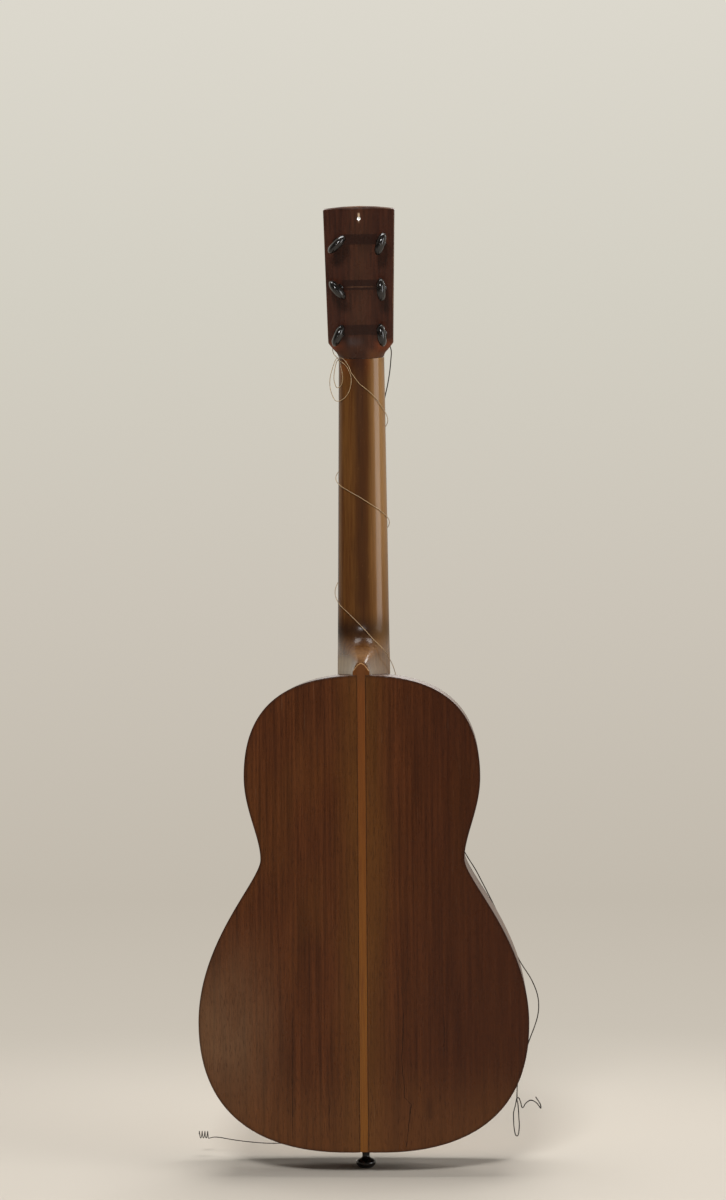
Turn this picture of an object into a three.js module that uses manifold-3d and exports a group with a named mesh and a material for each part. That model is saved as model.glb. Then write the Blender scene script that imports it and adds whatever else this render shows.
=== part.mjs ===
// A six-string parlour guitar of the late nineteenth century, standing on its end button with its back
// to the viewer at -Y. X runs across the body towards the bass side, Y out through the soundboard and
// Z up the neck. The origin is the centre of the end button's flat face.
// Lengths are in millimetres.

import * as THREE from 'three';
import { mergeVertices } from 'three/addons/utils/BufferGeometryUtils.js';
import Module from 'manifold-3d';

const wasm = await Module();
wasm.setup();

// Body outline, on the centre lines of the curves
const bodyLength = 464;
const upperBoutWidth = 231.5;
const waistWidth = 199.5;
const lowerBoutWidth = 323;
const upperBoutRise = 365;
const waistRise = 284.5;
const lowerBoutRise = 125;

// How far each outline curve leaves its anchor, as shares of the sizes that it follows
const shoulderFlatShare = 0.68;
const shoulderDropShare = 0.67;
const upperRunShare = 0.4;
const waistUpperShare = 0.28;
const waistLowerShare = 0.13;
const lowerRunShare = 0.5;
const tailDropShare = 1.1;
const tailFlatShare = 0.13;
const outlineSteps = 10;

// Box depth and the plates
const tailDepth = 92;
const neckEndDepth = 80;
const backArch = 3;
const backFacets = 9;
const soundboardThickness = 2.6;
const backThickness = 2.8;
const ribThickness = 2.2;
const bindingWidth = 1.6;
const bindingDepth = 4;
const backStripWidth = 8;
const backTabWidth = 16.4;
const backTabRise = 12.3;

// Inside the box
const liningThickness = 5;
const liningDepth = 10;
const blockWidth = 62;
const neckBlockLength = 24;
const tailBlockLength = 16;
const braceWidth = 6;
const braceHeight = 13;
const braceEndHeight = 5;
const braceTaper = 24;
const upperBraceDrop = 48;
const braceFromSoundHole = 12;
const backBraceShares = [ 0.86, 0.65, 0.41, 0.18 ];
const bridgePlateLength = 126;
const bridgePlateWidth = 26;
const bridgePlateThickness = 2;

// Sound hole and its inlaid ring
const soundHoleRadius = 42;
const soundHoleDrop = 152;
const rosetteInnerRadius = 46;
const rosetteWidth = 8;
const rosetteThickness = 1;

// Neck, head and fingerboard
const scaleLength = 628;
const fretsToBody = 12;
const fretCount = 18;
const neckWidthAtNut = 46;
const neckWidthAtBody = 53;
const neckDepthAtNut = 17;
const neckDepthAtBody = 20;
const heelLength = 44;
const fingerboardThickness = 5;
const fingerboardPastLastFret = 8;
const fretHeight = 1;
const fretWidth = 1.9;
const fretInset = 0.6;
const nutThickness = 5;
const nutProud = 1.8;
const headLength = 150.5;
const headThickness = 17;
const headLean = THREE.MathUtils.degToRad( 12 );
const headWidthAtShoulder = 65.2;
const headWidthAtTop = 70.8;
const headCrown = 2.6;
const shoulderLength = 15;
const hangingHoleRadius = 1.75;
const hangingHoleDrop = 11.5;

// Pegs
const pegRowStart = 25;
const pegRowPitch = 45;
const pegColumnSpacing = 43;
const pegRadiusAtBack = 4.3;
const pegRadiusAtFace = 3.7;
const pegPostRadius = 3.3;
const pegPostLength = 13;
const pegCollarRadius = 6.2;
const pegCollarThickness = 1.8;
const pegStemLength = 7;
const pegStemRadius = 3.4;
const thumbWidth = 23;
const thumbHeight = 18;
const thumbThickness = 6.6;
const thumbHollowDepth = 1.3;
const thumbPipRadius = 1.6;
const pegClearance = 0.3;

// Bridge, saddle and pins
const bridgeLength = 168;
const bridgeBlockLength = 82;
const bridgeWidth = 27;
const bridgeHeight = 8.5;
const bridgeWingHeight = 3.6;
const saddleLength = 70;
const saddleThickness = 2.6;
const saddleSlotDepth = 4;
const saddleProud = 2.5;
const saddleFromEdge = 7;
const pinFromSaddle = 9;
const pinSpacing = 10.8;
const pinHeadRadius = 3.7;
const pinShankRadius = 2.5;
const pinTipRadius = 1.9;
const pinLength = 21;
const pinClearance = 0.3;

// End button
const buttonProud = 24;
const buttonHeadRadius = 9.9;
const buttonFlatRadius = 6;
const buttonHeadThickness = 8.6;
const buttonWaistRadius = 3.6;
const buttonWaistLength = 3.6;
const buttonCollarRadius = 7;
const buttonCollarThickness = 1.2;
const buttonShankRadius = 3.8;
const buttonShankTipRadius = 3.3;
const buttonShankLength = 15;
const buttonClearance = 0.3;

// The end button's mushroom, as shares of its head's radius and thickness
const headLowShare = 0.9;
const headLowRiseShare = 0.3;
const headWidestShare = 0.55;
const headHighShare = 0.93;
const headHighRiseShare = 0.8;
const headNeckShare = 0.6;
const flareHighShare = 0.42;

// Strings, from the treble side to the bass side
const nutSpacing = 7.4;
const stringDiameters = { e: 0.7, B: 0.8, G: 0.95, D: 0.75, A: 0.9, E: 1.1 };
const stringNames = Object.keys( stringDiameters );
const windingTurns = 3;
const windingPitchGap = 0.55;
const windingStart = 6.2;
const windingLead = 3.6;
const curlRadius = 3.3;
const curlTurns = 3.5;
const curlPitch = 2.8;
const curlLead = 1.5;

// Joints between pieces
const glueLine = 0.3;
const overrun = 5;

// Heights that follow from the sizes above
const bodyBottom = buttonProud;
const bodyTop = bodyBottom + bodyLength;
const soundboardFace = tailDepth / 2;
const soundboardUnderside = soundboardFace - soundboardThickness;
const neckLength = scaleLength * ( 1 - Math.pow( 2, - fretsToBody / 12 ) );
const nutFront = bodyTop + neckLength;
const nutBack = nutFront + nutThickness;
const saddleRise = nutFront - scaleLength;
const pinRise = saddleRise - pinFromSaddle;
const soundHoleRise = bodyTop - soundHoleDrop;
const backTaper = Math.atan( ( tailDepth - neckEndDepth ) / bodyLength );

// Everything that leans back with the head is placed from the front edge of the head's joint
const headFrame = new THREE.Matrix4().makeRotationX( headLean ).setPosition( 0, soundboardFace, nutBack );

// Finishes
const finish = ( color, roughness, metalness = 0 ) => new THREE.MeshStandardMaterial( { color, roughness, metalness } );
const backWood = finish( 0x43240f, 0.45 );
const stripWood = finish( 0x6f3c12, 0.45 );
const neckWood = finish( 0x5a3314, 0.3 );
const headWood = finish( 0x3c1c10, 0.4 );
const spruce = finish( 0xb98a4e, 0.45 );
const plainWood = finish( 0xb4976a, 0.7 );
const ebony = finish( 0x14110f, 0.3 );
const inlay = finish( 0x2a1a10, 0.5 );
const bone = finish( 0xd9ccb0, 0.4 );
const gut = finish( 0xa98a62, 0.4 );
const woundWire = finish( 0x55504a, 0.35, 0.8 );

// A closed geometry as a solid that can be cut and joined
function solid( geometry ) {

	const loose = geometry.index ? geometry.toNonIndexed() : geometry;
	const bare = new THREE.BufferGeometry().setAttribute( 'position', loose.getAttribute( 'position' ) );
	const merged = mergeVertices( bare );
	return new wasm.Manifold( new wasm.Mesh( {
		numProp: 3,
		vertProperties: merged.attributes.position.array,
		triVerts: new Uint32Array( merged.index.array )
	} ) );

}

function geometryOf( body ) {

	const mesh = body.getMesh();
	const geometry = new THREE.BufferGeometry();
	geometry.setAttribute( 'position', new THREE.BufferAttribute( new Float32Array( mesh.vertProperties ), 3 ) );
	geometry.setIndex( new THREE.BufferAttribute( new Uint32Array( mesh.triVerts ), 1 ) );
	geometry.computeVertexNormals();
	return geometry;

}

const guitar = new THREE.Group();
const headGroup = new THREE.Group();
headGroup.applyMatrix4( headFrame );
guitar.add( headGroup );

function addPiece( name, shape, material, parent = guitar ) {

	const geometry = shape.isBufferGeometry ? shape : geometryOf( shape );
	const mesh = new THREE.Mesh( geometry, material );
	mesh.name = name;
	parent.add( mesh );
	return mesh;

}

// A box from its lowest to its highest corner
function block( low, high ) {

	const size = high.map( ( value, axis ) => value - low[ axis ] );
	const geometry = new THREE.BoxGeometry( ...size );
	return solid( geometry.translate( ...low.map( ( value, axis ) => value + size[ axis ] / 2 ) ) );

}

// A flat outline in X and Z, given thickness between two values of Y
function slab( points, yFrom, yTo ) {

	const shape = Array.isArray( points ) ? new THREE.Shape( points ) : points;
	const geometry = new THREE.ExtrudeGeometry( shape, { depth: yTo - yFrom, bevelEnabled: false, curveSegments: 8 } );
	return solid( geometry.rotateX( Math.PI / 2 ).translate( 0, yTo, 0 ) );

}

// A round bar or hole along Y, with its own radius at each end
function barAlongY( x, z, yFrom, yTo, radiusFrom, radiusTo = radiusFrom, sides = 10 ) {

	const geometry = new THREE.CylinderGeometry( radiusTo, radiusFrom, yTo - yFrom, sides );
	return solid( geometry.translate( x, ( yFrom + yTo ) / 2, z ) );

}

// Rings of points joined one to the next, with a flat cap on each end
function loft( rings ) {

	const count = rings[ 0 ].length;
	const points = rings.flat();
	const faces = [];
	for ( let ring = 0; ring < rings.length - 1; ring ++ ) {

		for ( let i = 0; i < count; i ++ ) {

			const next = ( i + 1 ) % count;
			const low = ring * count;
			const high = low + count;
			faces.push( low + i, low + next, high + next, low + i, high + next, high + i );

		}

	}

	const caps = [ rings[ 0 ], rings[ rings.length - 1 ] ];
	caps.forEach( ( ring, end ) => {

		const centre = points.length;
		points.push( ring.reduce( ( sum, point ) => sum.add( point ), new THREE.Vector3() ).divideScalar( count ) );
		const first = end ? ( rings.length - 1 ) * count : 0;
		for ( let i = 0; i < count; i ++ ) {

			const next = ( i + 1 ) % count;
			faces.push( ...( end ? [ centre, first + i, first + next ] : [ centre, first + next, first + i ] ) );

		}

	} );
	const geometry = new THREE.BufferGeometry().setFromPoints( points );
	geometry.setIndex( faces );
	return solid( geometry );

}

// Half of the body outline, from the neck end to the tail, drawn in by an inset. Each point is an
// anchor's curve point moved along the curve's own normal.
const outlineCurves = ( () => {

	const shoulder = upperBoutWidth / 2;
	const waist = waistWidth / 2;
	const hip = lowerBoutWidth / 2;
	const aboveUpper = bodyLength - upperBoutRise;
	const upperToWaist = upperBoutRise - waistRise;
	const waistToLower = waistRise - lowerBoutRise;
	const point = ( x, rise ) => new THREE.Vector2( x, bodyBottom + rise );
	return [
		new THREE.CubicBezierCurve(
			point( 0, bodyLength ), point( shoulder * shoulderFlatShare, bodyLength ),
			point( shoulder, upperBoutRise + aboveUpper * shoulderDropShare ), point( shoulder, upperBoutRise ) ),
		new THREE.CubicBezierCurve(
			point( shoulder, upperBoutRise ), point( shoulder, upperBoutRise - upperToWaist * upperRunShare ),
			point( waist, waistRise + upperToWaist * waistUpperShare ), point( waist, waistRise ) ),
		new THREE.CubicBezierCurve(
			point( waist, waistRise ), point( waist, waistRise - waistToLower * waistLowerShare ),
			point( hip, lowerBoutRise + waistToLower * lowerRunShare ), point( hip, lowerBoutRise ) ),
		new THREE.CubicBezierCurve(
			point( hip, lowerBoutRise ), point( hip, lowerBoutRise * ( 1 - tailDropShare ) ),
			point( hip * tailFlatShare, 0 ), point( 0, 0 ) )
	];

} )();

function halfOutline( side, inset = 0, steps = outlineSteps ) {

	const points = [];
	outlineCurves.forEach( ( curve, index ) => {

		for ( let i = index ? 1 : 0; i <= steps; i ++ ) {

			const at = curve.getPoint( i / steps );
			const along = curve.getTangent( i / steps );
			points.push( new THREE.Vector2( side * ( at.x + along.y * inset ), at.y - along.x * inset ) );

		}

	} );
	points[ 0 ].x = 0;
	points[ points.length - 1 ].x = 0;
	return points;

}

const fullOutline = ( inset, steps ) => [
	...halfOutline( 1, inset, steps ), ...halfOutline( - 1, inset, steps ).reverse().slice( 1, - 1 ) ];
const halfRing = ( side, from, to, steps ) => [
	...halfOutline( side, from, steps ), ...halfOutline( side, to, steps ).reverse() ];

// The half width of the outline at a height, for the ends of the braces
function halfWidthAt( z, inset ) {

	const points = halfOutline( 1, inset );
	const below = points.findIndex( ( point, index ) => index && point.y <= z );
	const [ high, low ] = [ points[ below - 1 ], points[ below ] ];
	return THREE.MathUtils.mapLinear( z, low.y, high.y, low.x, high.x );

}

// A layer of the arched back, between two distances in from its outer face. The arch is a row of
// flats across the back, with one flat on the centre line, and it leans with the depth of the box.
function backLayer( from, to ) {

	const reach = lowerBoutWidth / 2 + overrun;
	const outer = [];
	for ( let i = 0; i <= backFacets; i ++ ) {

		const x = reach * ( 2 * i / backFacets - 1 );
		outer.push( new THREE.Vector2( x, backArch * Math.pow( x / reach, 2 ) ) );

	}

	const moved = ( by ) => outer.map( ( point ) => new THREE.Vector2( point.x, point.y + by ) );
	const shape = new THREE.Shape( [ ...moved( from ), ...moved( to ).reverse() ] );
	const length = bodyLength + tailDepth;
	const geometry = new THREE.ExtrudeGeometry( shape, { depth: length, bevelEnabled: false } );
	geometry.translate( 0, 0, - tailDepth / 2 ).rotateX( - backTaper );
	return solid( geometry.translate( 0, - tailDepth / 2, bodyBottom ) );

}

const farSide = - 2 * tailDepth;
const outsideBack = backLayer( farSide, backThickness + glueLine );
const soundboardSeat = soundboardUnderside - glueLine;

// Back: two halves with a strip let in between, and a small pointed tab over the heel
function backTab( side ) {

	const half = side * backTabWidth / 2;
	const at = ( xShare, riseShare ) => new THREE.Vector2( half * xShare, bodyTop + backTabRise * riseShare );
	return [ at( 0, - 0.5 ), at( 1, - 0.5 ), at( 1, 0.3 ), at( 0.4, 0.84 ), at( 0, 1 ) ];

}

function backHalf( side ) {

	const plate = slab( halfOutline( side ), - tailDepth, 0 ).add( slab( backTab( side ), - tailDepth, 0 ) );
	const strip = block(
		[ - backStripWidth / 2 - glueLine, - tailDepth, 0 ],
		[ backStripWidth / 2 + glueLine, tailDepth, bodyTop + bodyLength ] );
	return plate.intersect( backLayer( 0, backThickness ) ).subtract( strip );

}

function backStrip() {

	const tab = slab( backTab( 1 ), - tailDepth, 0 ).add( slab( backTab( - 1 ), - tailDepth, 0 ) );
	const strip = block(
		[ - backStripWidth / 2, - tailDepth, bodyBottom + glueLine ],
		[ backStripWidth / 2, tailDepth, bodyTop ] );
	return slab( fullOutline( 0 ), - tailDepth, 0 ).intersect( strip ).add( tab.intersect( block(
		[ - backStripWidth / 2, - tailDepth, bodyTop - backTabRise ],
		[ backStripWidth / 2, tailDepth, bodyTop + 2 * backTabRise ] ) ) ).intersect( backLayer( 0, backThickness ) );

}

addPiece( 'back_treble', backHalf( - 1 ), backWood );
addPiece( 'back_bass', backHalf( 1 ), backWood );
addPiece( 'back_strip', backStrip(), stripWood );

// Ribs: one bent side on each half, meeting at the tail and at the neck, with the end button's hole
const buttonHole = solid( new THREE.CylinderGeometry(
	buttonShankRadius + buttonClearance, buttonShankRadius + buttonClearance,
	2 * tailBlockLength + 2 * buttonShankLength, 16 ).rotateX( Math.PI / 2 ).translate( 0, 0, bodyBottom ) );

function rib( side ) {

	const wall = slab( halfRing( side, 0, ribThickness ), farSide, soundboardSeat );
	const rebate = slab(
		halfRing( side, - overrun, bindingWidth + glueLine ), soundboardFace - bindingDepth - glueLine, tailDepth );
	return wall.subtract( outsideBack ).subtract( rebate ).subtract( buttonHole );

}

addPiece( 'rib_treble', rib( - 1 ), backWood );
addPiece( 'rib_bass', rib( 1 ), backWood );

// Binding round the soundboard's edge
const binding = ( side ) => slab( halfRing( side, 0, bindingWidth ), soundboardFace - bindingDepth, soundboardFace );
addPiece( 'binding_treble', binding( - 1 ), ebony );
addPiece( 'binding_bass', binding( 1 ), ebony );

// Where each string crosses the saddle and the nut
const acrossAt = ( index, spacing ) => ( index - ( stringNames.length - 1 ) / 2 ) * spacing;
const pinHoles = ( yFrom, yTo ) => stringNames.map( ( name, index ) => barAlongY(
	acrossAt( index, pinSpacing ), pinRise, yFrom, yTo, pinShankRadius + pinClearance, undefined, 10 ) );
const cutAll = ( body, tools ) => tools.reduce( ( rest, tool ) => rest.subtract( tool ), body );

// Soundboard: two halves round the sound hole, with a groove for the rosette
const rosetteRing = ( inner, outer, yFrom ) => {

	const ring = barAlongY( 0, soundHoleRise, yFrom, soundboardFace + overrun, outer, outer, 40 );
	return ring.subtract( barAlongY( 0, soundHoleRise, yFrom - overrun, soundboardFace + 2 * overrun, inner, inner, 40 ) );

};

function soundboardHalf( side ) {

	const plate = slab( halfOutline( side, bindingWidth + glueLine ), soundboardUnderside, soundboardFace );
	const hole = barAlongY( 0, soundHoleRise, - overrun, tailDepth, soundHoleRadius, soundHoleRadius, 40 );
	const groove = rosetteRing(
		rosetteInnerRadius - glueLine, rosetteInnerRadius + rosetteWidth + glueLine,
		soundboardFace - rosetteThickness - glueLine );
	return cutAll( plate, [ hole, groove, ...pinHoles( 0, tailDepth ) ] );

}

addPiece( 'soundboard_treble', soundboardHalf( - 1 ), spruce );
addPiece( 'soundboard_bass', soundboardHalf( 1 ), spruce );
const rosette = rosetteRing(
	rosetteInnerRadius, rosetteInnerRadius + rosetteWidth, soundboardFace - rosetteThickness );
addPiece( 'rosette', rosette.intersect( block(
	[ - lowerBoutWidth, 0, 0 ], [ lowerBoutWidth, soundboardFace, bodyTop ] ) ), inlay );

// Blocks at the neck and at the tail, shaped to the inside of the ribs
function endBlock( zFrom, zTo ) {

	const inside = slab( fullOutline( ribThickness + glueLine ), farSide, soundboardSeat );
	const zone = block( [ - blockWidth / 2, farSide, zFrom ], [ blockWidth / 2, tailDepth, zTo ] );
	return inside.intersect( zone ).subtract( outsideBack );

}

addPiece( 'neck_block', endBlock( bodyTop - ribThickness - neckBlockLength, bodyTop ), plainWood );
addPiece( 'tail_block', endBlock( 0, bodyBottom + ribThickness + tailBlockLength ).subtract( buttonHole ), plainWood );

// Linings along both edges of each rib, from block to block
const liningFrom = ribThickness + glueLine;
const liningTo = liningFrom + liningThickness;
const betweenBlocks = block(
	[ - blockWidth / 2 - glueLine, farSide, 0 ], [ blockWidth / 2 + glueLine, tailDepth, bodyTop + bodyLength ] );

function soundboardLining( side ) {

	const ring = halfRing( side, liningFrom, liningTo );
	return slab( ring, soundboardSeat - liningDepth, soundboardSeat ).subtract( betweenBlocks );

}

function backLining( side ) {

	const ring = slab( halfRing( side, liningFrom, liningTo ), farSide, 0 );
	const from = backThickness + glueLine;
	return ring.intersect( backLayer( from, from + liningDepth ) ).subtract( betweenBlocks );

}

addPiece( 'soundboard_lining_treble', soundboardLining( - 1 ), plainWood );
addPiece( 'soundboard_lining_bass', soundboardLining( 1 ), plainWood );
addPiece( 'back_lining_treble', backLining( - 1 ), plainWood );
addPiece( 'back_lining_bass', backLining( 1 ), plainWood );

// Cross braces, thinned towards their ends. Height runs away from the plate that they are glued to.
function brace( rise, seat, direction, extra = 0 ) {

	const half = halfWidthAt( bodyBottom + rise, liningTo );
	const at = ( x, height ) => new THREE.Vector2( x, seat + direction * height );
	const shape = new THREE.Shape( [
		at( - half, - extra ), at( half, - extra ), at( half, braceEndHeight ), at( half - braceTaper, braceHeight ),
		at( braceTaper - half, braceHeight ), at( - half, braceEndHeight ) ] );
	const geometry = new THREE.ExtrudeGeometry( shape, { depth: braceWidth, bevelEnabled: false } );
	const bar = solid( geometry.translate( 0, 0, bodyBottom + rise - braceWidth / 2 ) );
	return bar.intersect( slab( fullOutline( liningTo + glueLine ), farSide, tailDepth ) );

}

const belowSoundHole = soundHoleRise - soundHoleRadius - braceFromSoundHole;
const soundboardBraceHeights = [
	bodyTop - upperBraceDrop, soundHoleRise + soundHoleRadius + braceFromSoundHole, belowSoundHole,
	( belowSoundHole + pinRise + bridgePlateWidth / 2 ) / 2 ];
soundboardBraceHeights.forEach( ( height, index ) => {

	addPiece( `soundboard_brace_${ index + 1 }`, brace( height - bodyBottom, soundboardSeat, - 1 ), plainWood );

} );
backBraceShares.forEach( ( share, index ) => {

	const rise = share * bodyLength;
	const seat = rise * Math.tan( backTaper ) + backThickness - tailDepth / 2;
	const bar = brace( rise, seat, 1, tailDepth );
	addPiece( `back_brace_${ index + 1 }`, bar.subtract( outsideBack ), plainWood );

} );

// Bridge plate under the pins
const bridgePlate = block(
	[ - bridgePlateLength / 2, soundboardSeat - bridgePlateThickness, pinRise - bridgePlateWidth / 2 ],
	[ bridgePlateLength / 2, soundboardSeat, pinRise + bridgePlateWidth / 2 ] );
addPiece( 'bridge_plate', cutAll( bridgePlate, pinHoles( 0, tailDepth ) ), plainWood );

// Neck and heel in one piece: a half round that deepens and narrows into the heel. Depth is measured
// from the face under the fingerboard.
const neckWidthAt = ( z ) => THREE.MathUtils.mapLinear( z, bodyTop, nutFront, neckWidthAtBody, neckWidthAtNut );
const neckDepthAt = ( z ) => THREE.MathUtils.mapLinear( z, bodyTop, nutFront, neckDepthAtBody, neckDepthAtNut );
const neckSides = 18;

function neckRing( z ) {

	const heelDepth = neckEndDepth;
	const plainDepth = neckDepthAt( z );
	const climb = Math.min( 1, ( z - bodyTop - backTabRise ) / heelLength );
	const depth = plainDepth + ( heelDepth - plainDepth ) * Math.pow( 1 - climb, 3 );
	const heelShare = Math.min( 1, ( depth - plainDepth ) / ( heelDepth - plainDepth ) );
	const bluntness = THREE.MathUtils.lerp( 1, 0.4, heelShare );
	const neckHalf = neckWidthAt( z ) / 2;
	const tabHalf = backTabWidth / 2;
	const ring = [];
	for ( let i = 0; i <= neckSides; i ++ ) {

		const angle = Math.PI * i / neckSides;
		const deep = depth * Math.sin( angle );
		const left = Math.max( 0, 1 - deep / heelDepth );
		const flank = tabHalf + ( neckHalf - tabHalf ) * Math.pow( left, 1.7 );
		const half = THREE.MathUtils.lerp( neckHalf, flank, heelShare );
		const across = - Math.cos( angle );
		const x = half * Math.sign( across ) * Math.pow( Math.abs( across ), bluntness );
		ring.push( new THREE.Vector3( x, soundboardFace - deep, z ) );

	}

	return ring;

}

function neck() {

	const heelClimbs = [ - 4, 0, 4, 8, 12, 15, 18, 22, 27, 33, 40, 48, 58 ];
	const heights = heelClimbs.map( ( climb ) => bodyTop + ( backTabRise + heelLength ) * climb / 56 );
	heights.push( ( bodyTop + nutFront ) / 2, nutBack + overrun );
	const blank = loft( heights.map( neckRing ) );
	const headSide = solid( new THREE.BoxGeometry( headWidthAtTop, headLength, headLength )
		.translate( 0, 0, headLength / 2 - glueLine ).applyMatrix4( headFrame ) );
	const box = slab( fullOutline( - glueLine ), farSide, tailDepth );
	return blank.subtract( box ).subtract( outsideBack ).subtract( headSide );

}

addPiece( 'neck', neck(), neckWood );

// Head: a flat slab with sloping shoulders, whose back rounds over into the neck. Placed in the
// leaning frame, where Z runs up the head and Y is zero on its face.
const pegSeats = {
	e: { side: - 1, row: 0 }, B: { side: - 1, row: 1 }, G: { side: - 1, row: 2 },
	D: { side: 1, row: 2 }, A: { side: 1, row: 1 }, E: { side: 1, row: 0 }
};
const pegPlace = ( name ) => ( {
	x: pegSeats[ name ].side * pegColumnSpacing / 2, z: pegRowStart + pegRowPitch * pegSeats[ name ].row } );

function headOutline() {

	const shape = new THREE.Shape();
	const neckHalf = neckWidthAtNut / 2;
	const shoulderHalf = headWidthAtShoulder / 2;
	const hollowHalf = THREE.MathUtils.lerp( neckHalf, shoulderHalf, 0.4 );
	const topHalf = headWidthAtTop / 2;
	const corner = headLength - headCrown;
	shape.moveTo( - neckHalf, 0 );
	shape.lineTo( neckHalf, 0 );
	shape.quadraticCurveTo( neckHalf, shoulderLength * 0.3, hollowHalf, shoulderLength * 0.52 );
	shape.lineTo( shoulderHalf, shoulderLength );
	shape.lineTo( topHalf, corner );
	shape.quadraticCurveTo( 0, headLength + headCrown, - topHalf, corner );
	shape.lineTo( - shoulderHalf, shoulderLength );
	shape.lineTo( - hollowHalf, shoulderLength * 0.52 );
	shape.quadraticCurveTo( - neckHalf, shoulderLength * 0.3, - neckHalf, 0 );
	return shape;

}

function headEnvelope() {

	const stations = [
		{ z: - overrun, half: neckWidthAtNut / 2, power: 2 },
		{ z: 0, half: neckWidthAtNut / 2, power: 2 },
		{ z: shoulderLength * 0.5, half: headWidthAtShoulder * 0.46, power: 2.8 },
		{ z: shoulderLength, half: headWidthAtShoulder * 0.52, power: 4.5 },
		{ z: shoulderLength * 1.6, half: headWidthAtTop * 0.56, power: 9 },
		{ z: shoulderLength * 2.2, half: headWidthAtTop * 0.62, power: 18 },
		{ z: headLength + overrun, half: headWidthAtTop * 0.62, power: 18 } ];
	return loft( stations.map( ( { z, half, power } ) => {

		const ring = [];
		for ( let i = 0; i <= neckSides; i ++ ) {

			const angle = Math.PI * i / neckSides;
			const across = - Math.cos( angle );
			const x = half * Math.sign( across ) * Math.pow( Math.abs( across ), 2 / power );
			ring.push( new THREE.Vector3( x, - headThickness * Math.pow( Math.sin( angle ), 2 / power ), z ) );

		}

		return ring;

	} ) );

}

function head() {

	const blank = slab( headOutline(), - headThickness, 0 ).intersect( headEnvelope() );
	const widening = overrun * ( pegRadiusAtBack - pegRadiusAtFace ) / headThickness;
	const tapers = stringNames.map( ( name ) => {

		const { x, z } = pegPlace( name );
		return barAlongY(
			x, z, - headThickness - overrun, overrun,
			pegRadiusAtBack + pegClearance + widening, pegRadiusAtFace + pegClearance - widening );

	} );
	const hanging = barAlongY( 0, headLength - hangingHoleDrop, - 2 * headThickness, overrun, hangingHoleRadius );
	return cutAll( blank, [ ...tapers, hanging ] );

}

addPiece( 'head', head(), headWood, headGroup );

// Fingerboard, with its frets standing on it
const fretRise = ( number ) => nutFront - scaleLength * ( 1 - Math.pow( 2, - number / 12 ) );

function fingerboard() {

	const foot = fretRise( fretCount ) - fingerboardPastLastFret;
	const top = nutFront - glueLine;
	const corners = [ [ - 1, foot ], [ 1, foot ], [ 1, top ], [ - 1, top ] ];
	const outline = corners.map( ( [ side, z ] ) => new THREE.Vector2( side * neckWidthAt( z ) / 2, z ) );
	const face = soundboardFace + glueLine + fingerboardThickness;
	let board = slab( outline, soundboardFace + glueLine, face );
	for ( let number = 1; number <= fretCount; number ++ ) {

		const length = neckWidthAt( fretRise( number ) ) - 2 * fretInset;
		const crown = new THREE.CylinderGeometry( fretWidth / 2, fretWidth / 2, length, 8 ).rotateZ( Math.PI / 2 );
		crown.scale( 1, 2 * fretHeight / fretWidth, 1 ).translate( 0, face, fretRise( number ) );
		board = board.add( solid( crown ) );

	}

	return board;

}

addPiece( 'fingerboard', fingerboard(), ebony );

// Nut, with a slot for each string
const nutTop = soundboardFace + glueLine + fingerboardThickness + nutProud;

function nut() {

	const half = neckWidthAtNut / 2;
	const blank = block( [ - half, soundboardFace + glueLine, nutFront ], [ half, nutTop, nutBack - glueLine ] );
	const slots = stringNames.map( ( name, index ) => {

		const width = stringDiameters[ name ] / 2 + glueLine;
		const x = acrossAt( index, nutSpacing );
		return block( [ x - width, nutTop - width, nutFront - overrun ], [ x + width, nutTop + overrun, nutBack + overrun ] );

	} );
	return cutAll( blank, slots );

}

addPiece( 'nut', nut(), bone );

// Bridge: a block between two thin wings with rounded tips, slotted for the saddle
const bridgeSeat = soundboardFace + glueLine;
const bridgeTop = saddleRise + saddleFromEdge;
const bridgeFoot = bridgeTop - bridgeWidth;

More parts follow.
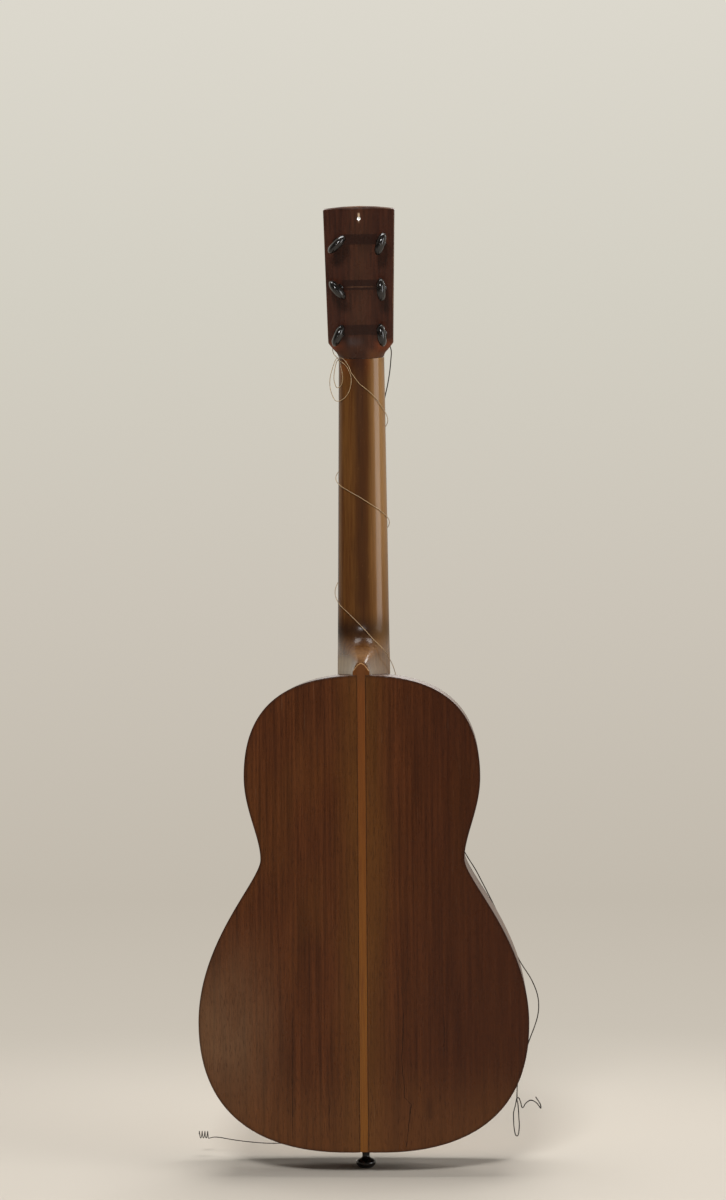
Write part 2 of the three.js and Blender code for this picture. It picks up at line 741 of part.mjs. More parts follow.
function bridge() {

	const tip = bridgeLength / 2;
	const shoulder = bridgeBlockLength / 2;
	const middle = ( bridgeTop + bridgeFoot ) / 2;
	const wings = new THREE.Shape();
	wings.moveTo( - shoulder, bridgeFoot );
	wings.lineTo( shoulder, bridgeFoot );
	wings.bezierCurveTo( tip * 0.7, bridgeFoot, tip * 0.8, middle - bridgeWidth * 0.3, tip, middle - bridgeWidth * 0.12 );
	wings.quadraticCurveTo( tip * 1.04, middle, tip, middle + bridgeWidth * 0.12 );
	wings.bezierCurveTo( tip * 0.8, middle + bridgeWidth * 0.3, tip * 0.7, bridgeTop, shoulder, bridgeTop );
	wings.lineTo( - shoulder, bridgeTop );
	wings.bezierCurveTo( - tip * 0.7, bridgeTop, - tip * 0.8, middle + bridgeWidth * 0.3, - tip, middle + bridgeWidth * 0.12 );
	wings.quadraticCurveTo( - tip * 1.04, middle, - tip, middle - bridgeWidth * 0.12 );
	wings.bezierCurveTo( - tip * 0.8, middle - bridgeWidth * 0.3, - tip * 0.7, bridgeFoot, - shoulder, bridgeFoot );
	const thin = slab( wings, bridgeSeat, bridgeSeat + bridgeWingHeight );
	const chamfer = bridgeHeight - bridgeWingHeight;
	const side = new THREE.Shape( [
		new THREE.Vector2( - shoulder, bridgeSeat ), new THREE.Vector2( shoulder, bridgeSeat ),
		new THREE.Vector2( shoulder, bridgeSeat + bridgeWingHeight ),
		new THREE.Vector2( shoulder - chamfer, bridgeSeat + bridgeHeight ),
		new THREE.Vector2( chamfer - shoulder, bridgeSeat + bridgeHeight ),
		new THREE.Vector2( - shoulder, bridgeSeat + bridgeWingHeight ) ] );
	const raised = solid( new THREE.ExtrudeGeometry( side, { depth: bridgeWidth, bevelEnabled: false } )
		.translate( 0, 0, bridgeFoot ) );
	const top = bridgeSeat + bridgeHeight;
	const slot = block(
		[ - saddleLength / 2 - glueLine, top - saddleSlotDepth - glueLine, saddleRise - saddleThickness / 2 - glueLine ],
		[ saddleLength / 2 + glueLine, top + overrun, saddleRise + saddleThickness / 2 + glueLine ] );
	return cutAll( thin.add( raised ), [ slot, ...pinHoles( 0, tailDepth ) ] );

}

addPiece( 'bridge', bridge(), ebony );
const saddleTop = bridgeSeat + bridgeHeight + saddleProud;
const saddleShape = ( () => {

	const half = saddleLength / 2;
	const foot = bridgeSeat + bridgeHeight - saddleSlotDepth;
	const shape = new THREE.Shape();
	shape.moveTo( - half, foot );
	shape.lineTo( half, foot );
	shape.lineTo( half, saddleTop - saddleProud / 2 );
	shape.quadraticCurveTo( half, saddleTop, half - saddleProud, saddleTop );
	shape.lineTo( saddleProud - half, saddleTop );
	shape.quadraticCurveTo( - half, saddleTop, - half, saddleTop - saddleProud / 2 );
	return new THREE.ExtrudeGeometry( shape, { depth: saddleThickness, bevelEnabled: false, curveSegments: 4 } );

} )();
addPiece( 'saddle', solid( saddleShape.translate( 0, 0, saddleRise - saddleThickness / 2 ) ), bone );

// A turned piece about Y. Each profile point is a radius and a height, from one end to the other.
function turned( profile, sides ) {

	return new THREE.LatheGeometry( profile.map( ( [ radius, height ] ) => new THREE.Vector2( radius, height ) ), sides );

}

// Bridge pins: a ball head on a tapered shank, seated in the bridge
stringNames.forEach( ( name, index ) => {

	const r = pinHeadRadius;
	const neckRise = r * 0.35;
	const profile = [
		[ 0, - pinLength ], [ pinTipRadius, - pinLength ], [ pinShankRadius, - r ], [ pinShankRadius, glueLine ],
		[ r * 0.86, glueLine ], [ r, neckRise + r * 0.3 ], [ r * 0.86, neckRise + r * 0.8 ],
		[ r * 0.5, neckRise + r * 1.15 ], [ 0, neckRise + r * 1.28 ] ];
	const pin = addPiece( `bridge_pin_${ name }`, turned( profile, 8 ), ebony );
	pin.position.set( acrossAt( index, pinSpacing ), bridgeSeat + bridgeHeight, pinRise );

} );

// Pegs: a tapered shank through the head, a post for the string in front, and a hollowed oval
// thumb piece behind. Each is stored at the turn that it was left in.
const pegTurns = { e: 24, B: - 41, G: 45, D: 18, A: - 3, E: - 8 };

function peg() {

	const back = - headThickness - glueLine;
	const collar = back - pegCollarThickness;
	const thumbCentre = collar - pegStemLength - thumbHeight / 2 + overrun / 2;
	const shank = solid( turned( [
		[ 0, thumbCentre ], [ pegStemRadius, thumbCentre ], [ pegStemRadius * 0.9, collar - pegStemLength / 3 ],
		[ pegCollarRadius * 0.8, collar ], [ pegCollarRadius, collar + pegCollarThickness / 2 ],
		[ pegCollarRadius, back ], [ pegRadiusAtBack, back ],
		[ pegRadiusAtFace, 0 ], [ pegPostRadius, pegPostLength ],
		[ pegPostRadius * 0.7, pegPostLength + pegPostRadius * 0.35 ], [ 0, pegPostLength + pegPostRadius * 0.45 ] ], 10 ) );
	const rim = thumbThickness / 3;
	const oval = new THREE.Shape();
	oval.absellipse( 0, 0, thumbWidth / 2 - rim, thumbHeight / 2 - rim, 0, 2 * Math.PI );
	const thumb = new THREE.ExtrudeGeometry( oval, {
		depth: rim, bevelThickness: rim, bevelSize: rim, bevelSegments: 1, curveSegments: 8 } );
	thumb.translate( 0, 0, - rim / 2 ).rotateY( Math.PI / 2 ).translate( 0, thumbCentre, 0 );
	const hollowRadius = thumbWidth * 0.9;
	const hollows = [ - 1, 1 ].map( ( side ) => solid( new THREE.SphereGeometry( hollowRadius, 10, 8 )
		.rotateZ( Math.PI / 2 )
		.translate( side * ( hollowRadius + thumbThickness / 2 - thumbHollowDepth ), thumbCentre - pegStemRadius / 2, 0 ) ) );
	const pip = solid( new THREE.SphereGeometry( thumbPipRadius, 6, 4 )
		.translate( 0, thumbCentre - thumbHeight / 2, 0 ) );
	return cutAll( solid( thumb ), hollows ).add( shank ).add( pip );

}

const pegGeometry = geometryOf( peg() );

stringNames.forEach( ( name ) => {

	const { x, z } = pegPlace( name );
	const mesh = addPiece( `peg_${ name }`, pegGeometry, ebony, headGroup );
	mesh.position.set( x, 0, z );
	mesh.rotation.y = THREE.MathUtils.degToRad( pegTurns[ name ] );

} );

// A spiral of string about a post along Y. It comes in straight from below, meets the post on one
// side and works towards the head.
class Winding extends THREE.Curve {

	constructor( radius, turns, pitch, side, lead ) {

		super();
		Object.assign( this, { radius, turns, pitch, side, lead } );

	}

	getPoint( t, target = new THREE.Vector3() ) {

		const around = 2 * Math.PI * this.radius;
		const along = t * ( this.lead + this.turns * around ) - this.lead;
		if ( along < 0 ) return target.set( this.side * this.radius, 0, along );
		const angle = along / this.radius;
		return target.set(
			this.side * this.radius * Math.cos( angle ), - this.pitch * along / around, this.radius * Math.sin( angle ) );

	}

}

const roundSection = ( radius, sides ) => new THREE.Shape( Array.from( { length: sides }, ( _, i ) => new THREE.Vector2(
	radius * Math.cos( 2 * Math.PI * i / sides ), radius * Math.sin( 2 * Math.PI * i / sides ) ) ) );

const sweep = ( curve, diameter, steps, sides ) => new THREE.ExtrudeGeometry(
	roundSection( diameter / 2, sides ), { extrudePath: curve, steps } );

// The least distance between turns of one tube, less its own thickness
function leastGap( curve, diameter ) {

	const points = curve.getSpacedPoints( 240 );
	const apart = Math.ceil( points.length * 3 * diameter / curve.getLength() ) + 2;
	let least = Infinity;
	points.forEach( ( point, i ) => points.slice( i + apart ).forEach( ( other ) => {

		least = Math.min( least, point.distanceTo( other ) );

	} ) );
	return least - diameter;

}

const looseStrings = [ 'e', 'E' ];
const windingRadius = ( name ) => pegPostRadius + 2 * glueLine + stringDiameters[ name ] / 2;

// The side of its post on which a string arrives: a loose one on the outside, a taut one inside
const arrivalSide = ( name ) => pegSeats[ name ].side * ( looseStrings.includes( name ) ? 1 : - 1 );

stringNames.filter( ( name ) => name !== 'A' ).forEach( ( name ) => {

	const side = arrivalSide( name );
	const diameter = stringDiameters[ name ];
	const pitch = diameter + windingPitchGap;
	const curve = new Winding( windingRadius( name ), windingTurns, pitch, side, windingLead );
	const { x, z } = pegPlace( name );
	const material = [ 'e', 'B', 'G' ].includes( name ) ? gut : woundWire;
	const mesh = addPiece( `winding_${ name }`, sweep( curve, diameter, windingTurns * 12, 6 ), material, headGroup );
	mesh.position.set( x, windingStart, z );
	console.log( `winding ${ name }: least gap ${ leastGap( curve, diameter ).toFixed( 2 ) } mm` );

} );

// Taut strings: straight from the pin over the saddle and the nut to the peg
const barBetween = ( from, to, radius ) => {

	const along = to.clone().sub( from );
	const bar = new THREE.CylinderGeometry( radius, radius, along.length(), 6 );
	bar.applyQuaternion( new THREE.Quaternion().setFromUnitVectors( new THREE.Vector3( 0, 1, 0 ), along.normalize() ) );
	return solid( bar.translate( ...from.clone().add( to ).multiplyScalar( 0.5 ).toArray() ) );

};

function tautString( name ) {

	const index = stringNames.indexOf( name );
	const radius = stringDiameters[ name ] / 2;
	const atSaddle = acrossAt( index, pinSpacing );
	const clear = radius + glueLine;
	const pin = new THREE.Vector3( atSaddle, bridgeSeat + bridgeHeight + clear, pinRise + pinHeadRadius + 2 * clear );
	const saddle = new THREE.Vector3( atSaddle, saddleTop + clear, saddleRise - saddleThickness / 2 );
	const slot = new THREE.Vector3( acrossAt( index, nutSpacing ), nutTop + glueLine, nutFront + nutThickness / 2 );
	const { x, z } = pegPlace( name );
	const arrival = new THREE.Vector3( x + arrivalSide( name ) * windingRadius( name ), windingStart, z - windingLead );
	arrival.applyMatrix4( headFrame );
	arrival.sub( arrival.clone().sub( slot ).normalize().multiplyScalar( glueLine ) );
	return barBetween( pin, saddle, radius ).add( barBetween( saddle, slot, radius ) ).add( barBetween( slot, arrival, radius ) );

}

[ 'B', 'G', 'D' ].forEach( ( name ) => {

	addPiece( `string_${ name }`, tautString( name ), name === 'D' ? woundWire : gut );

} );

// Loose strings. Each route is the line of the string's centre, from the piece that still holds it.
const route = ( points ) => new THREE.CatmullRomCurve3( points.map( ( point ) => new THREE.Vector3( ...point ) ), false, 'centripetal' );

// Bass string: still on its peg, down beside the neck and the fingerboard, past the waist and the hip
const bassRoute = route( [
	[ 25.95, 47.6, 828.2 ], [ 27.6, 48.2, 821 ], [ 30, 49.2, 812.8 ], [ 29.5, 50.6, 803.6 ],
	[ 28.2, 52, 791.9 ], [ 25.9, 53.1, 778.6 ], [ 23, 53.6, 766 ], [ 20.4, 53.6, 751 ],
	[ 17.8, 53.4, 722 ], [ 16.6, 53.4, 680 ], [ 16.2, 53.4, 630 ], [ 16, 53.4, 570 ],
	[ 17.6, 53.4, 515 ], [ 25, 53.4, 472 ], [ 42, 52.4, 434 ], [ 63, 50.6, 390 ], [ 83, 49.4, 342 ],
	[ 94, 48.8, 318 ], [ 102.6, 48.6, 302.3 ], [ 110.5, 48.6, 289.6 ], [ 117.3, 48.6, 276.6 ],
	[ 130, 49.2, 251 ], [ 143, 49.4, 222 ], [ 154.5, 49.2, 197 ], [ 166.5, 48.6, 177.5 ],
	[ 172.2, 48, 162.5 ], [ 173.3, 47.6, 150.7 ], [ 172, 47.4, 140.7 ], [ 168.9, 47.4, 130.7 ],
	[ 164, 47.8, 118 ], [ 157.6, 48.4, 99 ], [ 152.6, 48.8, 82 ], [ 151, 48.4, 68 ],
	[ 150.7, 48.2, 58.9 ] ] );
addPiece( 'string_E_loose', sweep( bassRoute, stringDiameters.E, 68, 8 ), woundWire );

// Its kinked end, bent where it was once knotted at the bridge
const kinkedRoute = route( [
	[ 150.5, 48.1, 58.2 ], [ 149.1, 47.3, 51.5 ], [ 147.3, 46.8, 44.5 ], [ 147.2, 46.5, 36.5 ],
	[ 147.7, 46.4, 28.9 ], [ 149.5, 46.5, 21.4 ], [ 151.1, 47, 21 ], [ 152.9, 48, 30 ],
	[ 152.6, 49.3, 37.5 ], [ 152.3, 50.6, 45.5 ], [ 151.7, 51.4, 52.5 ], [ 150.9, 51.9, 57.9 ],
	[ 152.6, 51.7, 58.1 ], [ 154.6, 51.2, 53.5 ], [ 156, 50.8, 48.5 ], [ 157.2, 50.8, 48.9 ],
	[ 159.5, 50.6, 52.9 ], [ 164.9, 50.2, 56.1 ], [ 170.5, 49.8, 53.5 ], [ 174.9, 49.4, 48.1 ],
	[ 174.7, 49.4, 51.5 ], [ 169.6, 50.8, 59.5 ] ] );
addPiece( 'string_E_kinked_end', sweep( kinkedRoute, stringDiameters.E, 56, 8 ), woundWire );

// Second bass string: still pinned at the bridge, thrown in a wide loop that leaves past the tail
const wideLoopRoute = route( [
	[ 16.2, 58.6, 169.9 ], [ 16.2, 58.7, 172.5 ], [ 16.4, 58.2, 177 ], [ 17.4, 54.6, 186 ],
	[ 21, 50.6, 200 ], [ 31, 48.4, 223 ], [ 52, 48, 242 ], [ 78, 48, 244 ], [ 98, 48, 227 ],
	[ 109, 48, 198 ], [ 109, 48, 162 ], [ 98, 48, 122 ], [ 78, 48, 86 ], [ 48, 48, 56 ], [ 10, 48, 33 ],
	[ - 30, 48, 20 ], [ - 62, 48, 14.6 ], [ - 97.1, 48, 13.2 ], [ - 115.7, 48, 14.3 ],
	[ - 130.9, 48, 16 ], [ - 142.6, 48, 17.9 ], [ - 150, 48.1, 19.2 ], [ - 156, 48.2, 19.4 ],
	[ - 159.6, 48.3, 18.5 ], [ - 161, 48.3, 18.2 ], [ - 161.5, 48.3, 19.4 ] ] );
addPiece( 'string_A_loose', sweep( wideLoopRoute, stringDiameters.A, 60, 8 ), woundWire );

// The curl at its end, left from its turns round the peg
const curl = new Winding( curlRadius, curlTurns, curlPitch, 1, curlLead );
const curlMesh = addPiece( 'string_A_curl', sweep( curl, stringDiameters.A, curlTurns * 14, 6 ), woundWire );
curlMesh.position.copy( wideLoopRoute.getPoint( 1 ) ).add( new THREE.Vector3( 0, curlRadius, curlLead + glueLine ) );
curlMesh.rotation.z = - Math.PI / 2;
console.log( `curl: least gap ${ leastGap( curl, stringDiameters.A ).toFixed( 2 ) } mm` );

// Treble string: still on its peg, tied in two loops at the top of the neck and thrown round it
const loopedRoute = route( [
	[ - 25.9, 47.4, 828.2 ], [ - 27.4, 47, 822 ], [ - 29, 44.5, 815 ], [ - 27.4, 40, 809 ],
	[ - 23.2, 37.4, 803.9 ], [ - 20, 36.4, 794 ], [ - 18.6, 34.7, 785.1 ], [ - 20.5, 36.6, 777.2 ],
	[ - 24.4, 37.6, 775.1 ], [ - 27.4, 37.6, 782.1 ], [ - 26.6, 36.6, 793.6 ], [ - 23.4, 34.8, 802.3 ],
	[ - 18.6, 33.6, 800 ], [ - 12.8, 30.4, 792.9 ], [ - 9.9, 29.4, 782.9 ], [ - 11.8, 30, 771.7 ],
	[ - 17.6, 33.2, 763.9 ], [ - 25.4, 37, 761.7 ], [ - 30.4, 37.4, 770.6 ], [ - 31.6, 35.6, 782.1 ],
	[ - 28.6, 33.6, 794.7 ], [ - 23.8, 32, 804.4 ], [ - 18.2, 31.2, 803.5 ], [ - 11.6, 28.6, 794.3 ],
	[ - 9.4, 28.1, 788.4 ] ] );
addPiece( 'string_e_looped', sweep( loopedRoute, stringDiameters.e, 66, 8 ), gut );
const spiralRoute = route( [
	[ - 8.8, 28, 787.8 ], [ - 1, 27.4, 777.6 ], [ 7.3, 28, 770.9 ], [ 15.5, 31.2, 762.7 ],
	[ 20.6, 36, 754.7 ], [ 24.9, 45, 747.6 ], [ 25.6, 53.6, 741 ], [ 21.4, 56, 734 ], [ 12, 56.2, 726 ],
	[ - 6, 56.2, 710 ], [ - 20, 55.6, 697 ], [ - 26.8, 47, 686.2 ], [ - 23.5, 35.4, 678 ],
	[ - 13.5, 29, 671 ], [ - 1.8, 26.2, 664.2 ], [ 8, 27.2, 657.9 ], [ 17, 31.2, 652 ],
	[ 22.8, 37, 647 ], [ 26.4, 46, 642 ], [ 25.6, 54, 636 ], [ 12, 56.8, 621 ], [ - 8, 56.8, 600 ],
	[ - 24.4, 54.6, 582 ], [ - 28.6, 47, 570 ], [ - 24, 34, 558 ], [ - 14, 25.4, 548 ], [ 0, 21, 534 ],
	[ 11, 16, 522 ], [ 20.8, 17, 512 ], [ 26, 29, 503 ], [ 29.4, 43, 495 ], [ 33, 54.6, 483 ],
	[ 40, 53.6, 468 ], [ 50, 51, 450 ] ] );
addPiece( 'string_e_wound_round_neck', sweep( spiralRoute, stringDiameters.e, 72, 8 ), gut );
console.log( `looped string: least gap ${ leastGap( loopedRoute, stringDiameters.e ).toFixed( 2 ) } mm` );

// End button: a turned mushroom on a tapered shank, pushed through the ribs into the tail block
const buttonCollarStart = buttonProud - glueLine - buttonCollarThickness;
const flareLength = buttonCollarStart - buttonHeadThickness - buttonWaistLength;
const buttonProfile = [
	[ 0, 0 ], [ buttonFlatRadius, 0 ], [ buttonHeadRadius * headLowShare, buttonHeadThickness * headLowRiseShare ],
	[ buttonHeadRadius, buttonHeadThickness * headWidestShare ],
	[ buttonHeadRadius * headHighShare, buttonHeadThickness * headHighRiseShare ],
	[ buttonHeadRadius * headNeckShare, buttonHeadThickness ],
	[ buttonWaistRadius, buttonHeadThickness + buttonWaistLength / 2 ],
	[ buttonWaistRadius, buttonHeadThickness + buttonWaistLength ],
	[ ( buttonWaistRadius + buttonCollarRadius ) / 2, buttonCollarStart - flareLength * flareHighShare ],
	[ buttonCollarRadius, buttonCollarStart ],
	[ buttonCollarRadius, buttonProud - glueLine ], [ buttonShankRadius, buttonProud - glueLine ],
	[ buttonShankTipRadius, buttonProud + buttonShankLength ], [ 0, buttonProud + buttonShankLength ] ];
addPiece( 'end_button', turned( buttonProfile, 18 ).rotateX( Math.PI / 2 ), ebony );

export default guitar;
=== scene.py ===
"""Looks of a nineteenth-century parlour guitar that stands on its end button with its back to the camera.

Lengths are in metres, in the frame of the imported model: X runs across the body to the bass side, Y out
through the soundboard and Z up the neck. The origin is the centre of the end button's flat face.
"""

from math import cos, pi, radians, sin

import bmesh
import bpy
import numpy as np
from mathutils import Matrix, Vector


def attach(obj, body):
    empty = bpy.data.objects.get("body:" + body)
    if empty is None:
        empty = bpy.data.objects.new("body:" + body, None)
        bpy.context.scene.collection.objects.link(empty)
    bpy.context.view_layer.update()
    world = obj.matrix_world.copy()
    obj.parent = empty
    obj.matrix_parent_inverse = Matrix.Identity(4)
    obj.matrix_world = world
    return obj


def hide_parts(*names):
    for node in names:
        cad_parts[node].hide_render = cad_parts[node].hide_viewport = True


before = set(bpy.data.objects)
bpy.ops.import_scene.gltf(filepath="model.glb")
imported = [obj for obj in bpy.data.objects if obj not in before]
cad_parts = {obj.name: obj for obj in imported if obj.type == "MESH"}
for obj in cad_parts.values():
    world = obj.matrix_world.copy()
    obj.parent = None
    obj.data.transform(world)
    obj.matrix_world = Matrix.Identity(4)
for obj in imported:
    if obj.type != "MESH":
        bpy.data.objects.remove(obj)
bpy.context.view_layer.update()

MM = 0.001
BODY = "guitar"
SIDES = {-1: "treble", 1: "bass"}

# ---- sizes

BODY_BOTTOM, BODY_LENGTH = 0.024, 0.464
BODY_TOP = BODY_BOTTOM + BODY_LENGTH
TAIL_DEPTH, NECK_END_DEPTH = 0.092, 0.080
FACE = TAIL_DEPTH / 2
UPPER_HALF, WAIST_HALF, LOWER_HALF = 0.11575, 0.09975, 0.1615
UPPER_RISE, WAIST_RISE, LOWER_RISE = 0.365, 0.2845, 0.125
BACK_ARCH, BACK_ARCH_REACH = 0.003, 0.1665
BACK_SLOPE = (TAIL_DEPTH - NECK_END_DEPTH) / BODY_LENGTH
BACK_THICKNESS, BACK_ROUNDING = 0.0028, 0.0008
GLUE_LINE, SEAM = 0.0003, 0.00003
STRIP_HALF, STRIP_CROWN = 0.004, 0.00015
TAB_HALF, TAB_RISE, TAB_ROUNDING = 0.0082, 0.0123, 0.0007
TAB_EDGE = (np.array([0, 0.4, 1]) * TAB_HALF, np.array([1, 0.84, 0.3]) * TAB_RISE)
RIB_THICKNESS, BUTTON_HOLE_RADIUS = 0.0022, 0.0041
BINDING_WIDTH, BINDING_DEPTH, BINDING_ROUNDING = 0.0016, 0.004, 0.0008
SOUNDBOARD_THICKNESS = 0.0026
SOUND_HOLE_RISE, SOUND_HOLE_RADIUS = BODY_TOP - 0.152, 0.042
ROSETTE_INNER, ROSETTE_OUTER, ROSETTE_THICKNESS = 0.046, 0.054, 0.001
ROSETTE_LINES = (0.0472, 0.0488, 0.0512, 0.0528)
SCALE_LENGTH = 0.628
NUT_FRONT = BODY_TOP + 0.314
NUT_BACK = NUT_FRONT + 0.005
NECK_HALF_AT_NUT, NECK_HALF_AT_BODY = 0.023, 0.0265
NECK_DEPTH_AT_NUT, NECK_DEPTH_AT_BODY = 0.017, 0.020
HEEL_LENGTH, HEEL_CREST_HALF, HEEL_CREST_EASE = 0.044, 0.0075, 0.003
FINGERBOARD_SEAT = FACE + GLUE_LINE
FINGERBOARD_FACE = FINGERBOARD_SEAT + 0.005
FINGERBOARD_PAST_FRETS, FINGERBOARD_ROUNDING = 0.008, 0.0007
FRET_COUNT, FRET_WIDTH, FRET_HEIGHT, FRET_INSET = 18, 0.0019, 0.001, 0.0006
HEAD_LEAN = radians(12)
HEAD_THICKNESS, HEAD_LENGTH, HEAD_CROWN = 0.017, 0.1505, 0.0026
HEAD_SHOULDER, SHOULDER_HALF, HEAD_TOP_HALF = 0.015, 0.0326, 0.0354
HEAD_ROUNDING, HEAD_END_ROUNDING = 0.0009, 0.0008
HANGING_HOLE_RISE, HANGING_HOLE_RADIUS = HEAD_LENGTH - 0.0115, 0.00175
PEG_SEATS = {"e": (-1, 0), "B": (-1, 1), "G": (-1, 2), "D": (1, 2), "A": (1, 1), "E": (1, 0)}
PEG_COLUMN_SPACING, PEG_ROW_START, PEG_ROW_PITCH = 0.043, 0.025, 0.045
PEG_RADIUS_AT_BACK, PEG_RADIUS_AT_FACE, PEG_POST_RADIUS = 0.0043, 0.0037, 0.0033
STRING_DIAMETERS = {"e": 0.0007, "B": 0.0008, "G": 0.00095, "D": 0.00075, "A": 0.0009, "E": 0.0011}
STRINGS, WOUND_STRINGS, TAUT_STRINGS = list(STRING_DIAMETERS), "DAE", "BGD"
SADDLE_RISE = NUT_FRONT - SCALE_LENGTH
PIN_RISE = SADDLE_RISE - 0.009
PIN_SPACING, PIN_HOLE_RADIUS, STRING_SPACING_AT_NUT = 0.0108, 0.0028, 0.0074
BRIDGE_TOP = FACE + GLUE_LINE + 0.0085
SADDLE_TOP = BRIDGE_TOP + 0.0025
NUT_TOP = FINGERBOARD_FACE + 0.0018
WIRE_PITCH, WINTER_LINE_PITCH = 0.00024, 0.0013
INNER_PIECES = [
    "neck_block", "tail_block", "bridge_plate",
    *(f"{face}_lining_{side}" for face in ("soundboard", "back") for side in SIDES.values()),
    *(f"{face}_brace_{number}" for face in ("soundboard", "back") for number in (1, 2, 3, 4))]

# ---- meshes


def circle(sides):
    """Angles at even steps round a circle."""
    return np.linspace(0, 2 * pi, sides, endpoint=False)


def stacked(x, y, z):
    return np.stack(np.broadcast_arrays(x, y, z), axis=-1)


def skin(loops, ring=False):
    """Points and faces of closed loops joined one to the next. A fan closes each end, unless the last
    loop joins the first."""
    count, sides = loops.shape[:2]
    rows = np.arange(count if ring else count - 1)[:, None]
    column = np.arange(sides)[None, :]
    following = (column + 1) % sides
    below, above = rows * sides, (rows + 1) % count * sides
    quads = np.stack([below + column, below + following, above + following, above + column], axis=-1)
    points, faces = loops.reshape(-1, 3), quads.reshape(-1, 4).tolist()
    if not ring:
        points = np.concatenate([points, loops[[0, -1]].mean(axis=1)])
        near, far, last = count * sides, count * sides + 1, (count - 1) * sides
        for fan in ((near, following[0], column[0]), (far, last + column[0], last + following[0])):
            faces += np.stack(np.broadcast_arrays(*fan), axis=-1).tolist()
    return points, faces


def turned(profile, x=0, z=0, sides=48):
    """Points and faces of a profile, given as radius and Y, turned about a line along Y."""
    radius, y = np.array(profile).T[:, :, None]
    angle = circle(sides)
    return skin(stacked(x + radius * np.cos(angle), y, z + radius * np.sin(angle)))


def ring_about_y(z, inner, outer, start, end, sides=96):
    """A rectangle turned about a line along Y."""
    angle = circle(sides)
    corners = [(inner, start), (outer, start), (outer, end), (inner, end)]
    sides = [stacked(radius * np.cos(angle), y, z + radius * np.sin(angle)) for radius, y in corners]
    return skin(np.stack(sides, axis=1), ring=True)


def rounded(*degrees):
    """At each of these angles round a quarter circle, the distances left to go in and gone down."""
    return [(1 - sin(angle), 1 - cos(angle)) for angle in np.radians(degrees)]


def outward(points, faces):
    """A closed skin with its faces turned over where the volume inside them comes out negative."""
    fans = [(face[0], face[i], face[i + 1]) for face in faces for i in range(1, len(face) - 1)]
    a, b, c = points[np.array(fans)].transpose(1, 0, 2)
    volumes = np.einsum("ij,ij->i", a, np.cross(b, c))
    return points, [face[::-1] for face in faces] if volumes.sum() < 0 else faces


def join(*parts):
    """Several closed skins as one set of points and faces, each with its faces outwards."""
    points, faces, start = [], [], 0
    for part_points, part_faces in (outward(*part) for part in parts):
        points.append(part_points)
        faces += [[start + corner for corner in face] for face in part_faces]
        start += len(part_points)
    return np.concatenate(points), faces


def add_object(name, data):
    """A new object in the scene."""
    made = bpy.data.objects.new(name, data)
    bpy.context.scene.collection.objects.link(made)
    return made


def shade(piece, sharp):
    """Smooth shading, with edges left sharp past an angle in degrees."""
    mesh = piece.data
    mesh.polygons.foreach_set("use_smooth", np.ones(len(mesh.polygons), bool))
    mesh.set_sharp_from_angle(angle=radians(sharp))
    mesh.update()
    return piece


def piece_from(name, points, faces, sharp=40):
    """A shaded object with its faces outwards."""
    points, faces = outward(points, faces)
    mesh = bpy.data.meshes.new(name)
    mesh.from_pydata(points.tolist(), [], faces)
    return shade(add_object(name, mesh), sharp)


def bake(piece, sharp=40):
    """Applies the modifiers of a piece to its mesh."""
    graph = bpy.context.evaluated_depsgraph_get()
    mesh = bpy.data.meshes.new_from_object(piece.evaluated_get(graph))
    piece.modifiers.clear()
    piece.data = mesh
    return shade(piece, sharp)


def cut(piece, *tools):
    """Takes tools, each points and faces, out of a piece."""
    tool = piece_from("tool", *join(*tools))
    boolean = piece.modifiers.new("cut", "BOOLEAN")
    boolean.operation, boolean.solver, boolean.object = "DIFFERENCE", "EXACT", tool
    bake(piece)
    bpy.data.objects.remove(tool)
    return piece


def mark(piece, name, values):
    """Stores one number for each point of the mesh, for a material to read."""
    attribute = piece.data.attributes.new(name, "FLOAT", "POINT")
    attribute.data.foreach_set("value", np.asarray(values, np.float32))


def settle(piece, look, *nodes, body=BODY):
    """Gives a piece its material and its body, and hides the imported nodes that it stands for."""
    material, slot = look
    piece.data.materials.clear()
    piece.data.materials.append(material)
    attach(piece, body)
    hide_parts(*nodes)


# ---- camera

CAMERA_DISTANCE, CAMERA_HEIGHT, CAMERA_ASIDE = 2.507, 0.5615, 0.003
CAMERA_YAW, CAMERA_ROLL = radians(2.1), radians(-0.45)
VIEW_HEIGHT, SENSOR = 1.1673, 36


def make_camera():
    """A camera level with the middle of the guitar, a little to the bass side."""
    data = bpy.data.cameras.new("camera")
    data.sensor_fit = "VERTICAL"
    data.sensor_width = data.sensor_height = SENSOR
    data.lens = SENSOR * CAMERA_DISTANCE / VIEW_HEIGHT
    camera = add_object("camera", data)
    aim = np.array([CAMERA_ASIDE, -FACE, CAMERA_HEIGHT])
    camera.location = aim + CAMERA_DISTANCE * np.array([sin(CAMERA_YAW), -cos(CAMERA_YAW), 0])
    yaw, level, roll = (
        Matrix.Rotation(angle, 4, axis)
        for angle, axis in ((CAMERA_YAW, "Z"), (pi / 2, "X"), (CAMERA_ROLL, "Z")))
    camera.rotation_euler = (yaw @ level @ roll).to_euler()
    bpy.context.scene.camera = camera


make_camera()

# ---- shaders


def operator(kind):
    """Methods for a Math node of one kind: with the value on the left of the sign, and on its right."""

    def on_left(value, other):
        return value.math(kind, other)

    def on_right(value, other):
        return value.look.node("Math", {0: other, 1: value}, operation=kind)

    return on_left, on_right


